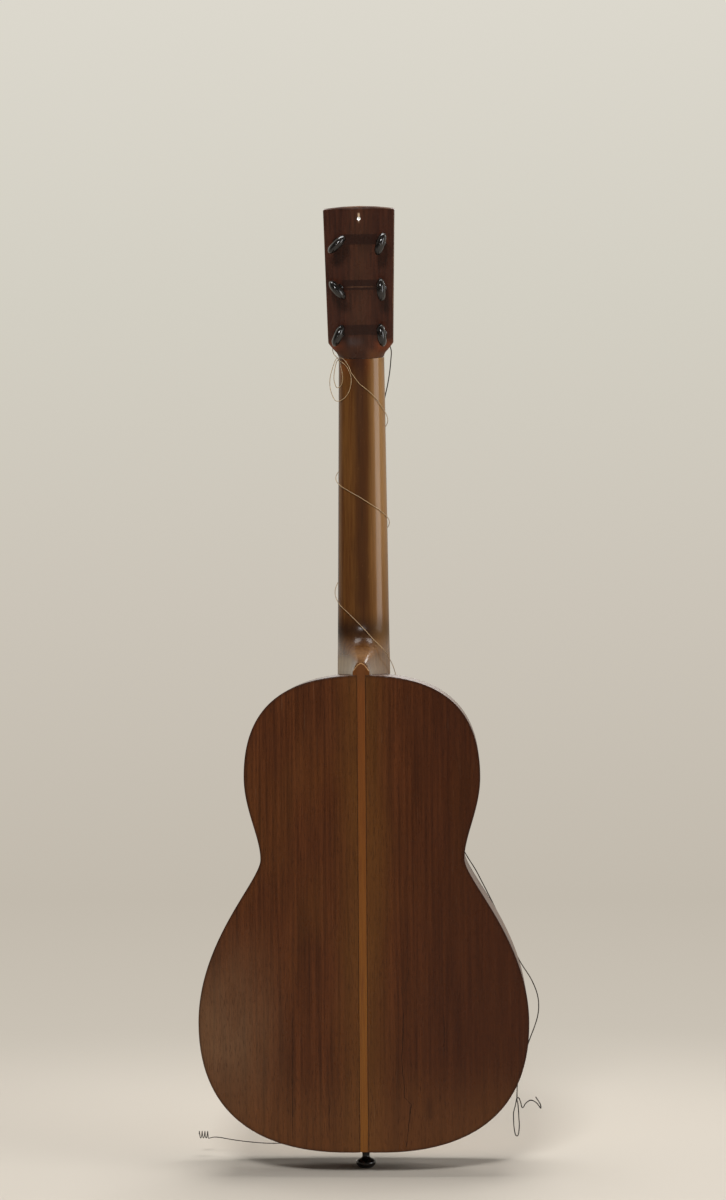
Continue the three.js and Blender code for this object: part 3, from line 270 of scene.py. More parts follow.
class Value:
    """A shader socket that takes Python's operators. Each one adds a Math node."""

    __add__, __radd__ = operator("ADD")
    __sub__, __rsub__ = operator("SUBTRACT")
    __mul__, __rmul__ = operator("MULTIPLY")
    __truediv__, __rtruediv__ = operator("DIVIDE")

    def __init__(self, look, socket):
        self.look, self.socket = look, socket

    def math(self, operation, *others):
        return self.look.node("Math", dict(enumerate((self, *others))), operation=operation)

    def __abs__(self):
        return self.math("ABSOLUTE")

    def smaller(self, other):
        return self.math("MINIMUM", other)

    def larger(self, other):
        return self.math("MAXIMUM", other)

    def rise(self, start, end):
        """0 before start, 1 past end and a smooth rise between them. It falls where end is below start."""
        low, high = min(start, end), max(start, end)
        ends = {"To Min": float(start > end), "To Max": float(start < end)}
        inputs = {"Value": self, "From Min": low, "From Max": high, **ends}
        return self.look.node("MapRange", inputs, interpolation_type="SMOOTHSTEP")

    def around(self, centre, reach):
        """1 at the centre, falling smoothly to 0 at the reach on both sides."""
        return abs(self - centre).rise(reach, 0)


def rgb(red, green, blue):
    """A screen colour, 0 to 255 for each channel, as a shader's linear one."""
    channels = np.array([red, green, blue]) / 255
    linear = np.where(channels > 0.04045, ((channels + 0.055) / 1.055) ** 2.4, channels / 12.92)
    return (*linear.tolist(), 1.0)


class Look:
    """One material, the slot that it is for, and the colour laid on it so far. Colours are 0 to 255."""

    def __init__(self, name, slot=None, holder=None):
        self.slot = slot or name
        self.material = holder or bpy.data.materials.new(name)
        self.material.use_nodes = True
        self.tree = self.material.node_tree
        self.tree.nodes.clear()

    def node(self, kind, inputs=None, output=0, stops=None, **settings):
        """Adds a node: its settings and ramp stops first, then the values or links of its sockets."""
        made = self.tree.nodes.new("ShaderNode" + kind)
        for name, value in settings.items():
            setattr(made, name, value)
        for index, (position, colour) in enumerate(stops or ()):
            elements = made.color_ramp.elements
            stop = elements[index] if index < 2 else elements.new(position)
            stop.position, stop.color = position, rgb(*colour)
        for key, value in (inputs or {}).items():
            if isinstance(value, Value):
                self.tree.links.new(value.socket, made.inputs[key])
            else:
                made.inputs[key].default_value = value
        return Value(self, made.outputs[output]) if len(made.outputs) else None

    def axes(self, source="Object"):
        """The coordinates as three values."""
        at = self.node("TexCoord", output=source)
        return [self.node("SeparateXYZ", {0: at}, output=axis) for axis in "XYZ"]

    def noise(self, sizes, seed, detail=3, **settings):
        """Cloudy noise with a feature size for each axis, in millimetres."""
        at = self.node("Mapping", {
            "Vector": self.node("TexCoord", output="Object"), "Location": (seed, 2 * seed, 3 * seed),
            "Scale": [1 / (size * MM) for size in sizes]})
        settings = {"Roughness": 0.55, "Distortion": 0.0, **settings}
        return self.node("TexNoise", {"Vector": at, "Scale": 1.0, "Detail": detail, **settings})

    def lengthways(self, across, along, seed, *detail, **settings):
        """Noise drawn out along the grain."""
        return self.noise((across, across * 6, along), seed, *detail, **settings)

    def attribute(self, name):
        return self.node("Attribute", output="Fac", attribute_name=name)

    def mix(self, first, second, share):
        """One colour over another, by share."""
        first, second = (side if isinstance(side, Value) else rgb(*side) for side in (first, second))
        return self.node("Mix", {0: share, 6: first, 7: second}, output=2, data_type="RGBA")

    def base(self, first, second, share):
        """Starts the look with two colours mixed by share."""
        self.colour = self.mix(first, second, share)

    def over(self, colour, share):
        """Lays a colour on the look by share."""
        self.colour = self.mix(self.colour, colour, share)

    def bump(self, height, distance, strength=1.0):
        return self.node("Bump", {"Height": height, "Distance": distance, "Strength": strength})

    def surface(self, roughness, shine=0.5, **inputs):
        """The principled shader with the look's colour, into the output. Its other sockets' names have
        spaces for underscores."""
        sockets = {key.replace("_", " "): value for key, value in inputs.items()}
        shader = self.node("BsdfPrincipled", {
            "Base Color": self.colour, "Roughness": roughness, "Specular IOR Level": shine, **sockets})
        self.node("OutputMaterial", {"Surface": shader})
        return self.material, self.slot


def gut_look():
    look = Look("gut")
    look.base((128, 100, 68), (186, 158, 116), look.noise((4, 4, 4), 3))
    return look.surface(0.35)


def wound_wire_look():
    """Fine wire wound round a silk core: a ridge for each turn, tarnished in patches."""
    look = Look("wound_wire", "wound_string")
    ridge = (look.attribute("along") * (2 * pi / WIRE_PITCH)).math("SINE")
    tarnish = look.noise((12, 12, 12), 5).rise(0.35, 0.7)
    look.base((84, 78, 72), (48, 42, 38), tarnish)
    return look.surface(tarnish * 0.25 + 0.3, Metallic=0.85, Normal=look.bump(ridge, 0.00004))


CRACKS = [
    (0.0005, [(0.0395, 0.163), (0.0372, 0.114), (0.0399, 0.077), (0.0461, 0.0702), (0.0407, 0.0274)]),
    (0.0004, [(-0.0691, 0.165), (-0.0699, 0.036)]),
    (0.0004, [(0.0784, 0.159), (0.0784, 0.114)]),
    (0.0004, [(-0.0337, 0.079), (-0.0337, 0.048)])]


def crack(look, x, z, width, points):
    """1 along a broken line down the grain, given as X and Z from its top, fading at its ends."""
    (line, high), low = points[0], points[-1][1]
    for (last_x, last_z), (next_x, next_z) in zip(points, points[1:]):
        step = {"From Min": next_z, "From Max": last_z, "To Min": next_x - last_x, "To Max": 0.0}
        line = look.node("MapRange", {"Value": z, **step}) + line
    wander = (look.noise((4, 50, 12), 31) - 0.5) * 0.0024
    ends = z.rise(low - 0.002, low + 0.004) * z.rise(high + 0.002, high - 0.006)
    return (x + wander - line).around(0, width) * ends


def tab_colour(look, streak, x, above):
    """The colour so far with the tab over it: darker wood, and a worn light line along its edge."""
    wood = look.mix((80, 45, 19), (98, 57, 25), streak)
    colour = look.mix(look.colour, wood, above.rise(-0.02, 0.001))
    point = abs(x) * -0.6 + TAB_RISE
    flank = (abs(x) - 0.4 * TAB_HALF) * -1.35 + 0.84 * TAB_RISE
    worn = (point.smaller(flank) - above).rise(0.0011, 0.0005) * above.rise(0.003, 0.005)
    return look.mix(colour, (188, 146, 98), worn * 0.75)


def back_wood_look():
    """Varnished dark wood with short flecks down the grain: golden beside the strip, redder to the bass side,
    lighter towards the tail as painted light, with a painted pale sheen at the treble hip, dark at the edge,
    with shrinkage cracks above the tail."""
    look = Look("back_wood", "back_and_rib_wood")
    x, y, z = look.axes()
    above = z - BODY_TOP
    broad = look.noise((50, 200, 140), 2, 2)
    streak = look.lengthways(3.2, 150, 4, 5, Roughness=0.6)
    fine = look.lengthways(0.7, 30, 6)
    fleck = look.lengthways(0.55, 7.5, 9, 2).rise(0.53, 0.72)
    patch = look.noise((20, 200, 50), 12, 4)
    look.base((54, 27, 12), (84, 45, 22), streak.rise(0.25, 0.75))
    look.over((92, 58, 24), x.around(0, 0.035) * 0.5 + broad.rise(0.45, 0.75) * 0.2)
    look.over((52, 25, 14), x.rise(0.01, 0.1) * 0.6)
    # Painted light: the back is made lighter towards the tail, where the lamps light it less than the top.
    look.over((104, 66, 36), z.rise(0.12, 0.04) * 0.35)
    # Painted sheen: a pale reflection on the treble hip, broken up by patches.
    painted_sheen_at_hip = x.rise(-0.06, -0.13) * z.around(0.14, 0.13)
    look.over((112, 84, 60), painted_sheen_at_hip * (patch * 0.5 + 0.2))
    look.over((36, 18, 10), fleck * 0.55 + fine.rise(0.5, 0.3) * 0.2)
    smudge = x.around(0.0636, 0.006) * z.around(0.064, 0.022) * patch.rise(0.35, 0.6)
    look.over((26, 14, 10), smudge * 0.6)
    seam = abs(x).rise(STRIP_HALF + 0.0008, STRIP_HALF + 0.0002) * above.rise(0.002, -0.002)
    look.over((26, 13, 8), (look.attribute("rim").rise(0.55, 1) * 0.5).larger(seam * 0.75))
    look.over(tab_colour(look, streak, x, above), above.rise(-0.0005, 0.0005))
    cracks = 0
    for width, points in CRACKS:
        cracks = crack(look, x, z, width, points).larger(cracks)
    look.over((14, 8, 6), cracks * 0.9)
    wear = look.noise((1.2, 20, 50), 17, 4, Distortion=0.4).rise(0.66, 0.8)
    look.over((140, 112, 86), wear * 0.18)
    height = fine * 0.3 - fleck * 0.5 - cracks * 3
    return look.surface(patch * 0.12 + 0.22 + wear * 0.1, 0.12, Normal=look.bump(height, 0.00006, 0.7))


def strip_wood_look():
    """Orange-brown strip with fine grain, darker and redder up the back, a thin dark line at its edges."""
    look = Look("strip_wood")
    x, y, z = look.axes()
    above = z - BODY_TOP
    fine = look.lengthways(0.6, 40, 21, 4)
    broad = look.lengthways(3, 80, 22)
    look.base((100, 55, 20), (112, 68, 23), z.rise(0.5, 0.1))
    look.over((84, 44, 20), fine.rise(0.55, 0.3) * 0.55 + broad.rise(0.5, 0.75) * 0.3)
    look.over((36, 18, 10), abs(x).rise(0.0036, STRIP_HALF) * above.rise(0.002, 0) * 0.8)
    look.colour = tab_colour(look, broad, x, above)
    return look.surface(fine * 0.06 + 0.28, 0.18, Normal=look.bump(fine, 0.00004, 0.6))


def rib_wood_look():
    """The back's wood bent round the sides, with its grain along them."""
    look = Look("rib_wood", "back_and_rib_wood")
    grain = look.noise((50, 0.9, 50), 41, 4)
    streak = look.noise((120, 6, 120), 42, 4)
    look.base((60, 32, 17), (98, 58, 32), streak.rise(0.3, 0.7))
    look.over((36, 19, 11), grain.rise(0.5, 0.3) * 0.5)
    return look.surface(grain * 0.1 + 0.32, 0.45, Normal=look.bump(grain, 0.00004, 0.6))


def neck_wood_look():
    """Glossy golden-brown neck, dark along its middle, with painted shade on the heel, painted pale
    reflections on the heel's foot and above the tab, painted light towards +X, and brown under the nut."""
    look = Look("neck_wood")
    x, y, z = look.axes()
    above, from_middle = z - BODY_TOP, abs(x)
    streak = look.noise((3.5, 4, 110), 51, 5, Roughness=0.6, Distortion=0.3)
    fine = look.noise((0.6, 0.8, 30), 52)
    cloud = look.noise((12, 20, 50), 53)
    look.base((82, 48, 22), (106, 70, 34), streak.rise(0.3, 0.7))
    figure = abs(x + (cloud - 0.5) * 0.008).rise(0.013, 0.002) * above.rise(0.02, 0.08)
    look.over((48, 25, 14), figure * (streak * 0.7 + 0.35))
    # Painted shade: the heel is darkened; the coat also leaves this zone.
    heel = above.around(0.043, 0.022)
    look.over((40, 25, 17), heel * 0.85)
    look.over((38, 22, 14), fine.rise(0.5, 0.3) * 0.35)
    # Painted light: golden towards +X, the side the right-hand lamp lights, fading towards the heel.
    look.over((152, 116, 74), x.rise(0.004, 0.021) * (above.rise(0.03, 0.2) * 0.5 + 0.25))
    # Painted reflection: pale cream on the heel's flanks, stronger towards -X.
    cream_reflection = from_middle.rise(0.006, 0.012) * above.rise(0.022, 0.012) * x.rise(0.03, -0.03)
    look.over((190, 168, 132), cream_reflection * (streak * 0.6 + 0.2))
    # Painted reflection: a light arc on the heel just above the tab's point.
    arc_reflection = above.around(0.019, 0.009) * from_middle.rise(0.014, 0.004)
    look.over((160, 122, 84), arc_reflection * (streak * 0.4 + 0.15))
    below_nut = z.rise(NUT_BACK - 0.03, NUT_BACK - 0.004) * x.rise(0.012, 0.006)
    brown = look.mix((112, 64, 32), (50, 26, 15), abs(x + 0.003).rise(0.016, 0.004))
    look.over(brown, below_nut * 0.9)
    worn = look.noise((2, 2, 6), 54, 5).rise(0.62, 0.78)
    look.over((134, 92, 54), worn * 0.25)
    return look.surface(
        cloud * 0.1 + 0.2 + arc_reflection * 0.3 + cream_reflection * 0.15, 0.1, Coat_Weight=heel * -0.3 + 0.3, Coat_Roughness=0.08,
        Normal=look.bump(fine * 0.4 + streak, 0.00005, 0.5))


def head_wood_look():
    """Dark red-brown varnish with pale worn edges, a painted orange glow on the shoulders and a rough end. On
    its back are painted peg shadows as darker bands between the pegs, a light line, a haze and a rubbed tail
    under the hanging hole."""
    look = Look("head_wood")
    x, y, z = look.axes()
    from_middle = abs(x)
    lean, lift = cos(HEAD_LEAN), sin(HEAD_LEAN)
    rise = (z - NUT_BACK) / lean
    behind = ((y - FACE) * lean + (z - NUT_BACK) * lift).rise(-0.008, -0.015)
    streak = look.noise((3, 10, 90), 61, 5, Roughness=0.6)
    fine = look.noise((0.7, 4, 16), 62)
    cloud = look.noise((20, 20, 30), 63, 4)
    look.base((39, 18, 11), (64, 33, 21), streak.rise(0.25, 0.75))
    look.over((122, 88, 58), x.around(0, 0.02) * 0.12 * cloud)
    # Painted shadow: darker bands across the back between each pair of pegs.
    painted_peg_shadows = 0
    for row in range(3):
        from_row = abs(rise + (cloud - 0.5) * 0.0015 - (PEG_ROW_START + PEG_ROW_PITCH * row))
        painted_peg_shadows = from_row.rise(0.0056, 0.0046) + painted_peg_shadows
    look.over((33, 14, 8), painted_peg_shadows * from_middle.rise(0.0195, 0.0165) * behind * 0.8)
    line = (rise + (cloud - 0.5) * 0.002).around(PEG_ROW_START + PEG_ROW_PITCH - 0.002, 0.0006)
    look.over((120, 84, 62), line * from_middle.rise(0.016, 0.009) * behind * 0.6)
    look.over((30, 16, 11), fine.rise(0.5, 0.3) * 0.4)
    brown = look.mix((84, 48, 24), (46, 23, 13), abs(x + 0.003).rise(0.016, 0.005))
    look.over(brown, rise.rise(0.009, 0.0) * 0.9)
    haze = rise.around(0.0135, 0.007) * abs(x + 0.006).rise(0.012, 0.003) * cloud
    look.over((66, 58, 58), haze * behind * 0.9)
    # Painted glow: orange light on the rounded shoulders.
    look.over((122, 60, 28), rise.around(0.009, 0.009) * from_middle.rise(0.011, 0.022) * 0.6)
    worn = look.attribute("worn") * (cloud * 0.8 + 0.2)
    look.over((142, 104, 74), worn.rise(0.4, 1) * 0.6)
    from_hole = rise - HANGING_HOLE_RISE
    tail = x.around(0, 0.0017) * from_hole.rise(-0.009, -0.001) * from_hole.rise(0.003, 0)
    look.over((196, 168, 136), tail * behind * 0.9)
    end = rise.rise(HEAD_LENGTH - HEAD_CROWN - 0.004, HEAD_LENGTH - HEAD_CROWN)
    return look.surface(
        cloud * 0.14 + 0.2 + end * 0.6, 0.18, Normal=look.bump(fine * 0.4 + cloud * 0.3, 0.00008, 0.6))


def black_wood_look(name, brown):
    """Blackened hardwood, polished by the hand, with brown showing in its grain."""
    look = Look(name, "black_wood")
    grain = look.noise((0.8, 4, 4), 71, 4)
    cloud = look.noise((6, 6, 6), 72)
    look.base((19, 17, 16), brown, grain.rise(0.5, 0.8) * 0.6)
    return look.surface(cloud * 0.1 + 0.14, Normal=look.bump(grain, 0.00002, 0.3))


def spruce_look():
    """Amber varnished spruce: fine darker winter lines down the grain, with faint silk across it."""
    look = Look("spruce")
    x, y, z = look.axes()
    wander = (look.noise((30, 50, 300), 81, 2) - 0.5) * 0.012
    lines = ((x + wander) * (2 * pi / WINTER_LINE_PITCH)).math("SINE").rise(0.2, 1)
    silk = look.noise((4, 50, 0.9), 82)
    broad = look.noise((20, 100, 300), 83)
    look.base((198, 148, 84), (176, 122, 62), broad)
    look.over((140, 88, 42), lines * 0.45)
    look.over((218, 172, 108), silk.rise(0.55, 0.8) * 0.25)
    dirt = look.noise((10, 10, 20), 84, 5).rise(0.55, 0.8)
    look.over((96, 62, 34), dirt * 0.3)
    return look.surface(broad * 0.12 + 0.32, 0.45, Normal=look.bump(lines, 0.00003, 0.5))


def rosette_look():
    """Dark wood with light rings inlaid round the sound hole."""
    look = Look("rosette_wood")
    x, y, z = look.axes()
    rise = z - SOUND_HOLE_RISE
    radius = (x * x + rise * rise).math("SQRT")
    light = 0
    for line in ROSETTE_LINES:
        light = radius.around(line, 0.0003).larger(light)
    look.base((38, 24, 15), (206, 178, 128), light)
    return look.surface(0.4)


def inner_wood_look():
    """Bare pale wood inside the box."""
    look = Look("inner_wood")
    grain = look.noise((1.2, 10, 60), 91, 4)
    look.base((150, 116, 76), (190, 156, 108), grain)
    return look.surface(0.8, Normal=look.bump(grain, 0.0001, 0.4))


def bone_look():
    """Yellowed bone with faint dark pores."""
    look = Look("bone")
    look.base((222, 204, 164), (196, 168, 118), look.noise((10, 4, 4), 96))
    look.over((120, 92, 60), look.noise((1.6, 0.4, 0.4), 95).rise(0.6, 0.8) * 0.4)
    return look.surface(0.3)


def fret_metal_look():
    """Nickel silver, worn bright on top and tarnished between."""
    look = Look("fret_metal")
    cloud = look.noise((4, 1, 1), 98)
    look.base((150, 138, 112), (186, 178, 156), cloud)
    return look.surface(cloud * 0.2 + 0.22, Metallic=1.0)


BACK_WOOD, STRIP_WOOD, RIB_WOOD = back_wood_look(), strip_wood_look(), rib_wood_look()
NECK_WOOD, HEAD_WOOD = neck_wood_look(), head_wood_look()
BLACK_WOOD = black_wood_look("black_wood", (58, 38, 26))
BUTTON_WOOD = black_wood_look("button_wood", (84, 52, 34))
SPRUCE, ROSETTE_WOOD, INNER_WOOD = spruce_look(), rosette_look(), inner_wood_look()
BONE, FRET_METAL, GUT, WOUND_WIRE = bone_look(), fret_metal_look(), gut_look(), wound_wire_look()

# ---- body


def half_outline(inset=0.0, steps=44):
    """X and Z of half of the outline, from the neck to the tail: four cubic curves end to end, with each
    point moved inwards along the curve's normal."""
    above, between, below = BODY_LENGTH - UPPER_RISE, UPPER_RISE - WAIST_RISE, WAIST_RISE - LOWER_RISE
    ends = np.array([
        (0, BODY_LENGTH), (UPPER_HALF, UPPER_RISE), (WAIST_HALF, WAIST_RISE),
        (LOWER_HALF, LOWER_RISE), (0, 0)])
    handles = np.array([
        (UPPER_HALF * 0.68, BODY_LENGTH), (UPPER_HALF, UPPER_RISE + above * 0.67),
        (UPPER_HALF, UPPER_RISE - between * 0.4), (WAIST_HALF, WAIST_RISE + between * 0.28),
        (WAIST_HALF, WAIST_RISE - below * 0.13), (LOWER_HALF, LOWER_RISE + below * 0.5),
        (LOWER_HALF, LOWER_RISE * -0.1), (LOWER_HALF * 0.13, 0)])
    a, b, c, d = (points[:, None] for points in (ends[:-1], handles[::2], handles[1::2], ends[1:]))
    t = np.linspace(0, 1, steps + 1)[None, :, None]
    place = a * (1 - t)**3 + 3 * b * t * (1 - t)**2 + 3 * c * t**2 * (1 - t) + d * t**3
    along = (b - a) * (1 - t)**2 + 2 * (c - b) * t * (1 - t) + (d - c) * t**2
    along /= np.linalg.norm(along, axis=-1, keepdims=True)
    place = place + inset * np.stack([along[..., 1], -along[..., 0]], axis=-1)
    line = np.concatenate([place[0], *place[1:, 1:]])
    line[[0, -1], 0] = 0
    return line + [0, BODY_BOTTOM]


def back_face(x, z):
    """Y of the back's outer face: a shallow arch across it, leaning with the depth of the box."""
    return -FACE + 0.00005 + BACK_ARCH * (x / BACK_ARCH_REACH)**2 + BACK_SLOPE * (z - BODY_BOTTOM)


def back_half(side):
    """Plate from the seam to the outline. Each loop crosses it: along the outer face, round a small edge
    radius that follows the outline's normal, and back along the inner face. A second skin is the half
    of the tab over the heel. The mark "rim" grows from 0 to 1 towards the outline."""
    seam = STRIP_HALF + SEAM
    clear_of_seam = np.flatnonzero(half_outline()[:, 0] > seam + 0.0012)
    insets = np.array([8, 5, 3, 1.6, 0.9]) * MM
    columns, rims = [], []

    def line_at(inset):
        top, bottom = [seam, BODY_TOP - inset], [seam, BODY_BOTTOM + inset]
        return np.vstack([top, half_outline(inset)[clear_of_seam], bottom])

    def add(line, depth, rim):
        x, z = np.maximum(line[:, 0], seam), line[:, 1]
        columns.append(stacked(x, back_face(x, z) + depth, z))
        rims.append(rim)

    def inner_line(share):
        return np.stack([seam + (inside[:, 0] - seam) * share, inside[:, 1]], axis=1)

    inside, outer = line_at(insets[0]), line_at(0.0)
    for share in np.linspace(0, 1, 26)[:-1]:
        add(inner_line(share), 0, 0)
    for inset in insets:
        add(line_at(inset), 0, 1 - inset / insets[0])
    normal = (outer - line_at(insets[-1])) / insets[-1]
    rounding = BACK_ROUNDING * np.clip((outer[:, 0] - TAB_HALF) / 0.006, 0, 1)
    for left, gone in rounded(15, 40, 65, 90):
        add(outer - normal * (rounding * left)[:, None], rounding * gone, 1)
    add(outer, BACK_THICKNESS, 1)
    for share in (1, 0.5, 0):
        add(inner_line(share), BACK_THICKNESS, 0)
    plate = np.stack(columns, axis=1)

    across = np.linspace(seam, TAB_HALF, 9)
    low = np.interp(across, *outer[:40].T)
    high = BODY_TOP + np.interp(across, *TAB_EDGE)
    lines = [(low + (high - low) * share, 0) for share in (0, 0.35, 0.7)]
    lines += [(high - TAB_ROUNDING * left, TAB_ROUNDING * gone) for left, gone in rounded(0, 30, 60, 90)]
    lines += [(high, BACK_THICKNESS), (low, BACK_THICKNESS)]
    tab = np.stack([stacked(across, back_face(across, z) + depth, z) for z, depth in lines], axis=1)

    points, faces = join(skin(plate), skin(tab))
    points[:, 0] *= side
    piece = piece_from(f"back_{SIDES[side]}_half", points, faces)
    mark(piece, "rim", [*np.tile(rims, len(plate)), 1, 1, *np.full(tab[..., 0].size + 2, 0.3)])
    return piece


def back_strip():
    """Inlaid strip from the tail to the tab's point. Each loop is its section: a face crowned by a
    parabola, square edges and a flat inner side. The width closes to a point along the tab's edge."""
    edge_x, edge_z = TAB_EDGE
    point = BODY_TOP + TAB_RISE * np.array([0.3, 0.6, 0.76, 0.84, 0.9, 0.95, 0.985])
    z = np.concatenate([np.linspace(BODY_BOTTOM + GLUE_LINE, BODY_TOP, 60), point])
    half = np.minimum(STRIP_HALF, np.interp(z, BODY_TOP + edge_z[::-1], edge_x[::-1]))[:, None]
    across = np.array([-1, -0.95, -0.6, 0, 0.6, 0.95, 1])
    z = z[:, None]
    face = stacked(half * across, back_face(half * across, z) + STRIP_CROWN * across**2, z)
    across = across[::-1]
    inner = stacked(half * across, back_face(half * across, z) + BACK_THICKNESS, z)
    return piece_from("back_centre_strip", *skin(np.concatenate([face, inner], axis=1)))


def band(name, side, section):
    """A section carried along half of the outline. Each of its points is an inset and a Y. Where the Y
    is None, it lies on the back's inner face."""
    columns = []
    for inset, y in section:
        x, z = half_outline(inset).T
        columns.append(stacked(side * x, back_face(x, z) + (BACK_THICKNESS + SEAM) if y is None else y, z))
    return piece_from(name, *skin(np.stack(columns, axis=1)))


def rib(side):
    """Bent side with the binding's rebate along its front edge and the end button's hole at the tail."""
    ledge, width = FACE - BINDING_DEPTH - GLUE_LINE, BINDING_WIDTH + GLUE_LINE
    seat = FACE - SOUNDBOARD_THICKNESS - GLUE_LINE
    piece = band(f"rib_{SIDES[side]}_half", side, [
        (0, None), (0, 0.0), (0, ledge), (width, ledge), (width, seat),
        (RIB_THICKNESS, seat), (RIB_THICKNESS, None)])
    points, faces = turned([(BUTTON_HOLE_RADIUS, -0.02), (BUTTON_HOLE_RADIUS, 0.02)])
    return cut(piece, (points[:, [0, 2, 1]] + [0, 0, BODY_BOTTOM], faces))


def binding(side):
    """Strip round the soundboard's edge, with its outer corner rounded."""
    low, edge, corner = FACE - BINDING_DEPTH, BINDING_ROUNDING, 0.00023
    return band(f"binding_{SIDES[side]}_half", side, [
        (0, low), (0, FACE - edge), (corner, FACE - corner), (edge, FACE),
        (BINDING_WIDTH, FACE), (BINDING_WIDTH, low)])


def across_at(string, spacing):
    """X of a string, where the strings are this far apart."""
    return (STRINGS.index(string) - (len(STRINGS) - 1) / 2) * spacing


def soundboard_half(side):
    """Flat plate from the centre line to the binding, with the sound hole, the rosette's groove and the
    pin holes cut through it."""
    x, z = half_outline(BINDING_WIDTH + GLUE_LINE)[1:-1].T
    under = FACE - SOUNDBOARD_THICKNESS
    section = [(0, FACE), (0.5, FACE), (1, FACE), (1, under), (0.5, under), (0, under)]
    columns = [stacked(side * x * share, y, z) for share, y in section]
    piece = piece_from(f"soundboard_{SIDES[side]}_half", *skin(np.stack(columns, axis=1)))
    sound_hole = turned([(SOUND_HOLE_RADIUS, 0.03), (SOUND_HOLE_RADIUS, 0.06)], 0, SOUND_HOLE_RISE, 96)
    groove = ring_about_y(
        SOUND_HOLE_RISE, ROSETTE_INNER - GLUE_LINE, ROSETTE_OUTER + GLUE_LINE,
        FACE - ROSETTE_THICKNESS - GLUE_LINE, FACE + 0.002)
    drill = [(PIN_HOLE_RADIUS, 0.03), (PIN_HOLE_RADIUS, 0.07)]
    pin_holes = [turned(drill, across_at(string, PIN_SPACING), PIN_RISE, 24) for string in STRINGS]
    return cut(piece, sound_hole, groove, *pin_holes)


def make_body():
    for side, name in SIDES.items():
        settle(back_half(side), BACK_WOOD, "back_" + name)
        settle(rib(side), RIB_WOOD, "rib_" + name)
        settle(binding(side), BLACK_WOOD, "binding_" + name)
        settle(soundboard_half(side), SPRUCE, "soundboard_" + name)
    settle(back_strip(), STRIP_WOOD, "back_strip")
    rosette = ring_about_y(SOUND_HOLE_RISE, ROSETTE_INNER, ROSETTE_OUTER, FACE - ROSETTE_THICKNESS, FACE)
    settle(piece_from("sound_hole_rosette", *rosette), ROSETTE_WOOD, "rosette")
    for node in INNER_PIECES:
        bpy.data.objects[node].data.materials[0] = INNER_WOOD[0]


# ---- neck, fingerboard and head


def neck_half(z):
    return np.interp(z, [BODY_TOP, NUT_FRONT], [NECK_HALF_AT_BODY, NECK_HALF_AT_NUT])


def neck():
    """Loft of sections that start as half ellipses under the nut. Towards the body they deepen by the
    cube of the distance left, and their flanks draw in by a power of the depth left, down to the edge
    of the back's tab and to a rounded crest above it. The ends follow the body's outline and the head's
    plane."""
    heel_top = BODY_TOP + TAB_RISE + HEEL_LENGTH
    z = np.concatenate([
        [BODY_TOP + GLUE_LINE], np.linspace(BODY_TOP + 0.002, heel_top + 0.004, 46),
        np.linspace(heel_top + 0.012, NUT_BACK - 0.006, 30), [NUT_BACK]])[:, None]
    angle = np.linspace(0, pi, 57)
    half = neck_half(z)
    plain = np.interp(z, [BODY_TOP, NUT_FRONT], [NECK_DEPTH_AT_BODY, NECK_DEPTH_AT_NUT])
    climb = np.minimum(1, (z - BODY_TOP - TAB_RISE) / HEEL_LENGTH)
    deep = (plain + (NECK_END_DEPTH - plain) * (1 - climb)**3) * np.sin(angle)
    past = climb - 0.1
    heel_share = (1 - (past + np.sqrt(past**2 + 0.004)) / 2).clip(0)**3
    shifts = np.linspace(-0.002, 0.002, 9)
    tab = np.interp(z - BODY_TOP + shifts, TAB_EDGE[1][::-1], TAB_EDGE[0][::-1]).mean(axis=1, keepdims=True)
    over = tab - HEEL_CREST_HALF
    crest = HEEL_CREST_HALF + (over + np.sqrt(over**2 + HEEL_CREST_EASE**2)) / 2
    flank = crest + (half - crest) * np.maximum(0, 1 - deep / NECK_END_DEPTH)**1.35
    half = half + (flank - half) * heel_share
    across = -np.cos(angle)
    x = half * np.sign(across) * np.abs(across)**(1 - 0.25 * heel_share)
    y = np.maximum(FACE - deep, back_face(x, z) + BACK_THICKNESS + GLUE_LINE)
    loops = stacked(x, y, z)
    foot, end = loops[0], loops[-1]
    foot[:, 2] = np.interp(np.abs(foot[:, 0]), *half_outline(-GLUE_LINE)[:30].T)
    end[:, 2] = NUT_BACK - (GLUE_LINE + (FACE - end[:, 1]) * sin(HEAD_LEAN)) / cos(HEAD_LEAN)
    return piece_from("neck_and_heel", *skin(loops), sharp=50)


def in_head(points):
    """Points of the leaning head in the guitar's frame. Its own Y is 0 on its face, and its Z at the nut."""
    lean = np.array(Matrix.Rotation(HEAD_LEAN, 3, "X"))
    return points @ lean.T + [0, FACE, NUT_BACK]


def peg_seat(string):
    """The point of the head's face on a peg's axis, in the head's frame."""
    side, row = PEG_SEATS[string]
    return np.array([side * PEG_COLUMN_SPACING / 2, 0, PEG_ROW_START + PEG_ROW_PITCH * row])


def head_half(z):
    """Half width of the head: a hollow above the neck, a straight shoulder and slightly flaring sides."""
    t = np.linspace(0, 1, 9)
    hollow = NECK_HALF_AT_NUT + (SHOULDER_HALF - NECK_HALF_AT_NUT) * 0.4 * t**2
    rise = HEAD_SHOULDER * (0.6 * t * (1 - t) + 0.52 * t**2)
    top = HEAD_LENGTH - HEAD_CROWN
    return np.interp(z, [*rise, HEAD_SHOULDER, top], [*hollow, SHOULDER_HALF, HEAD_TOP_HALF])


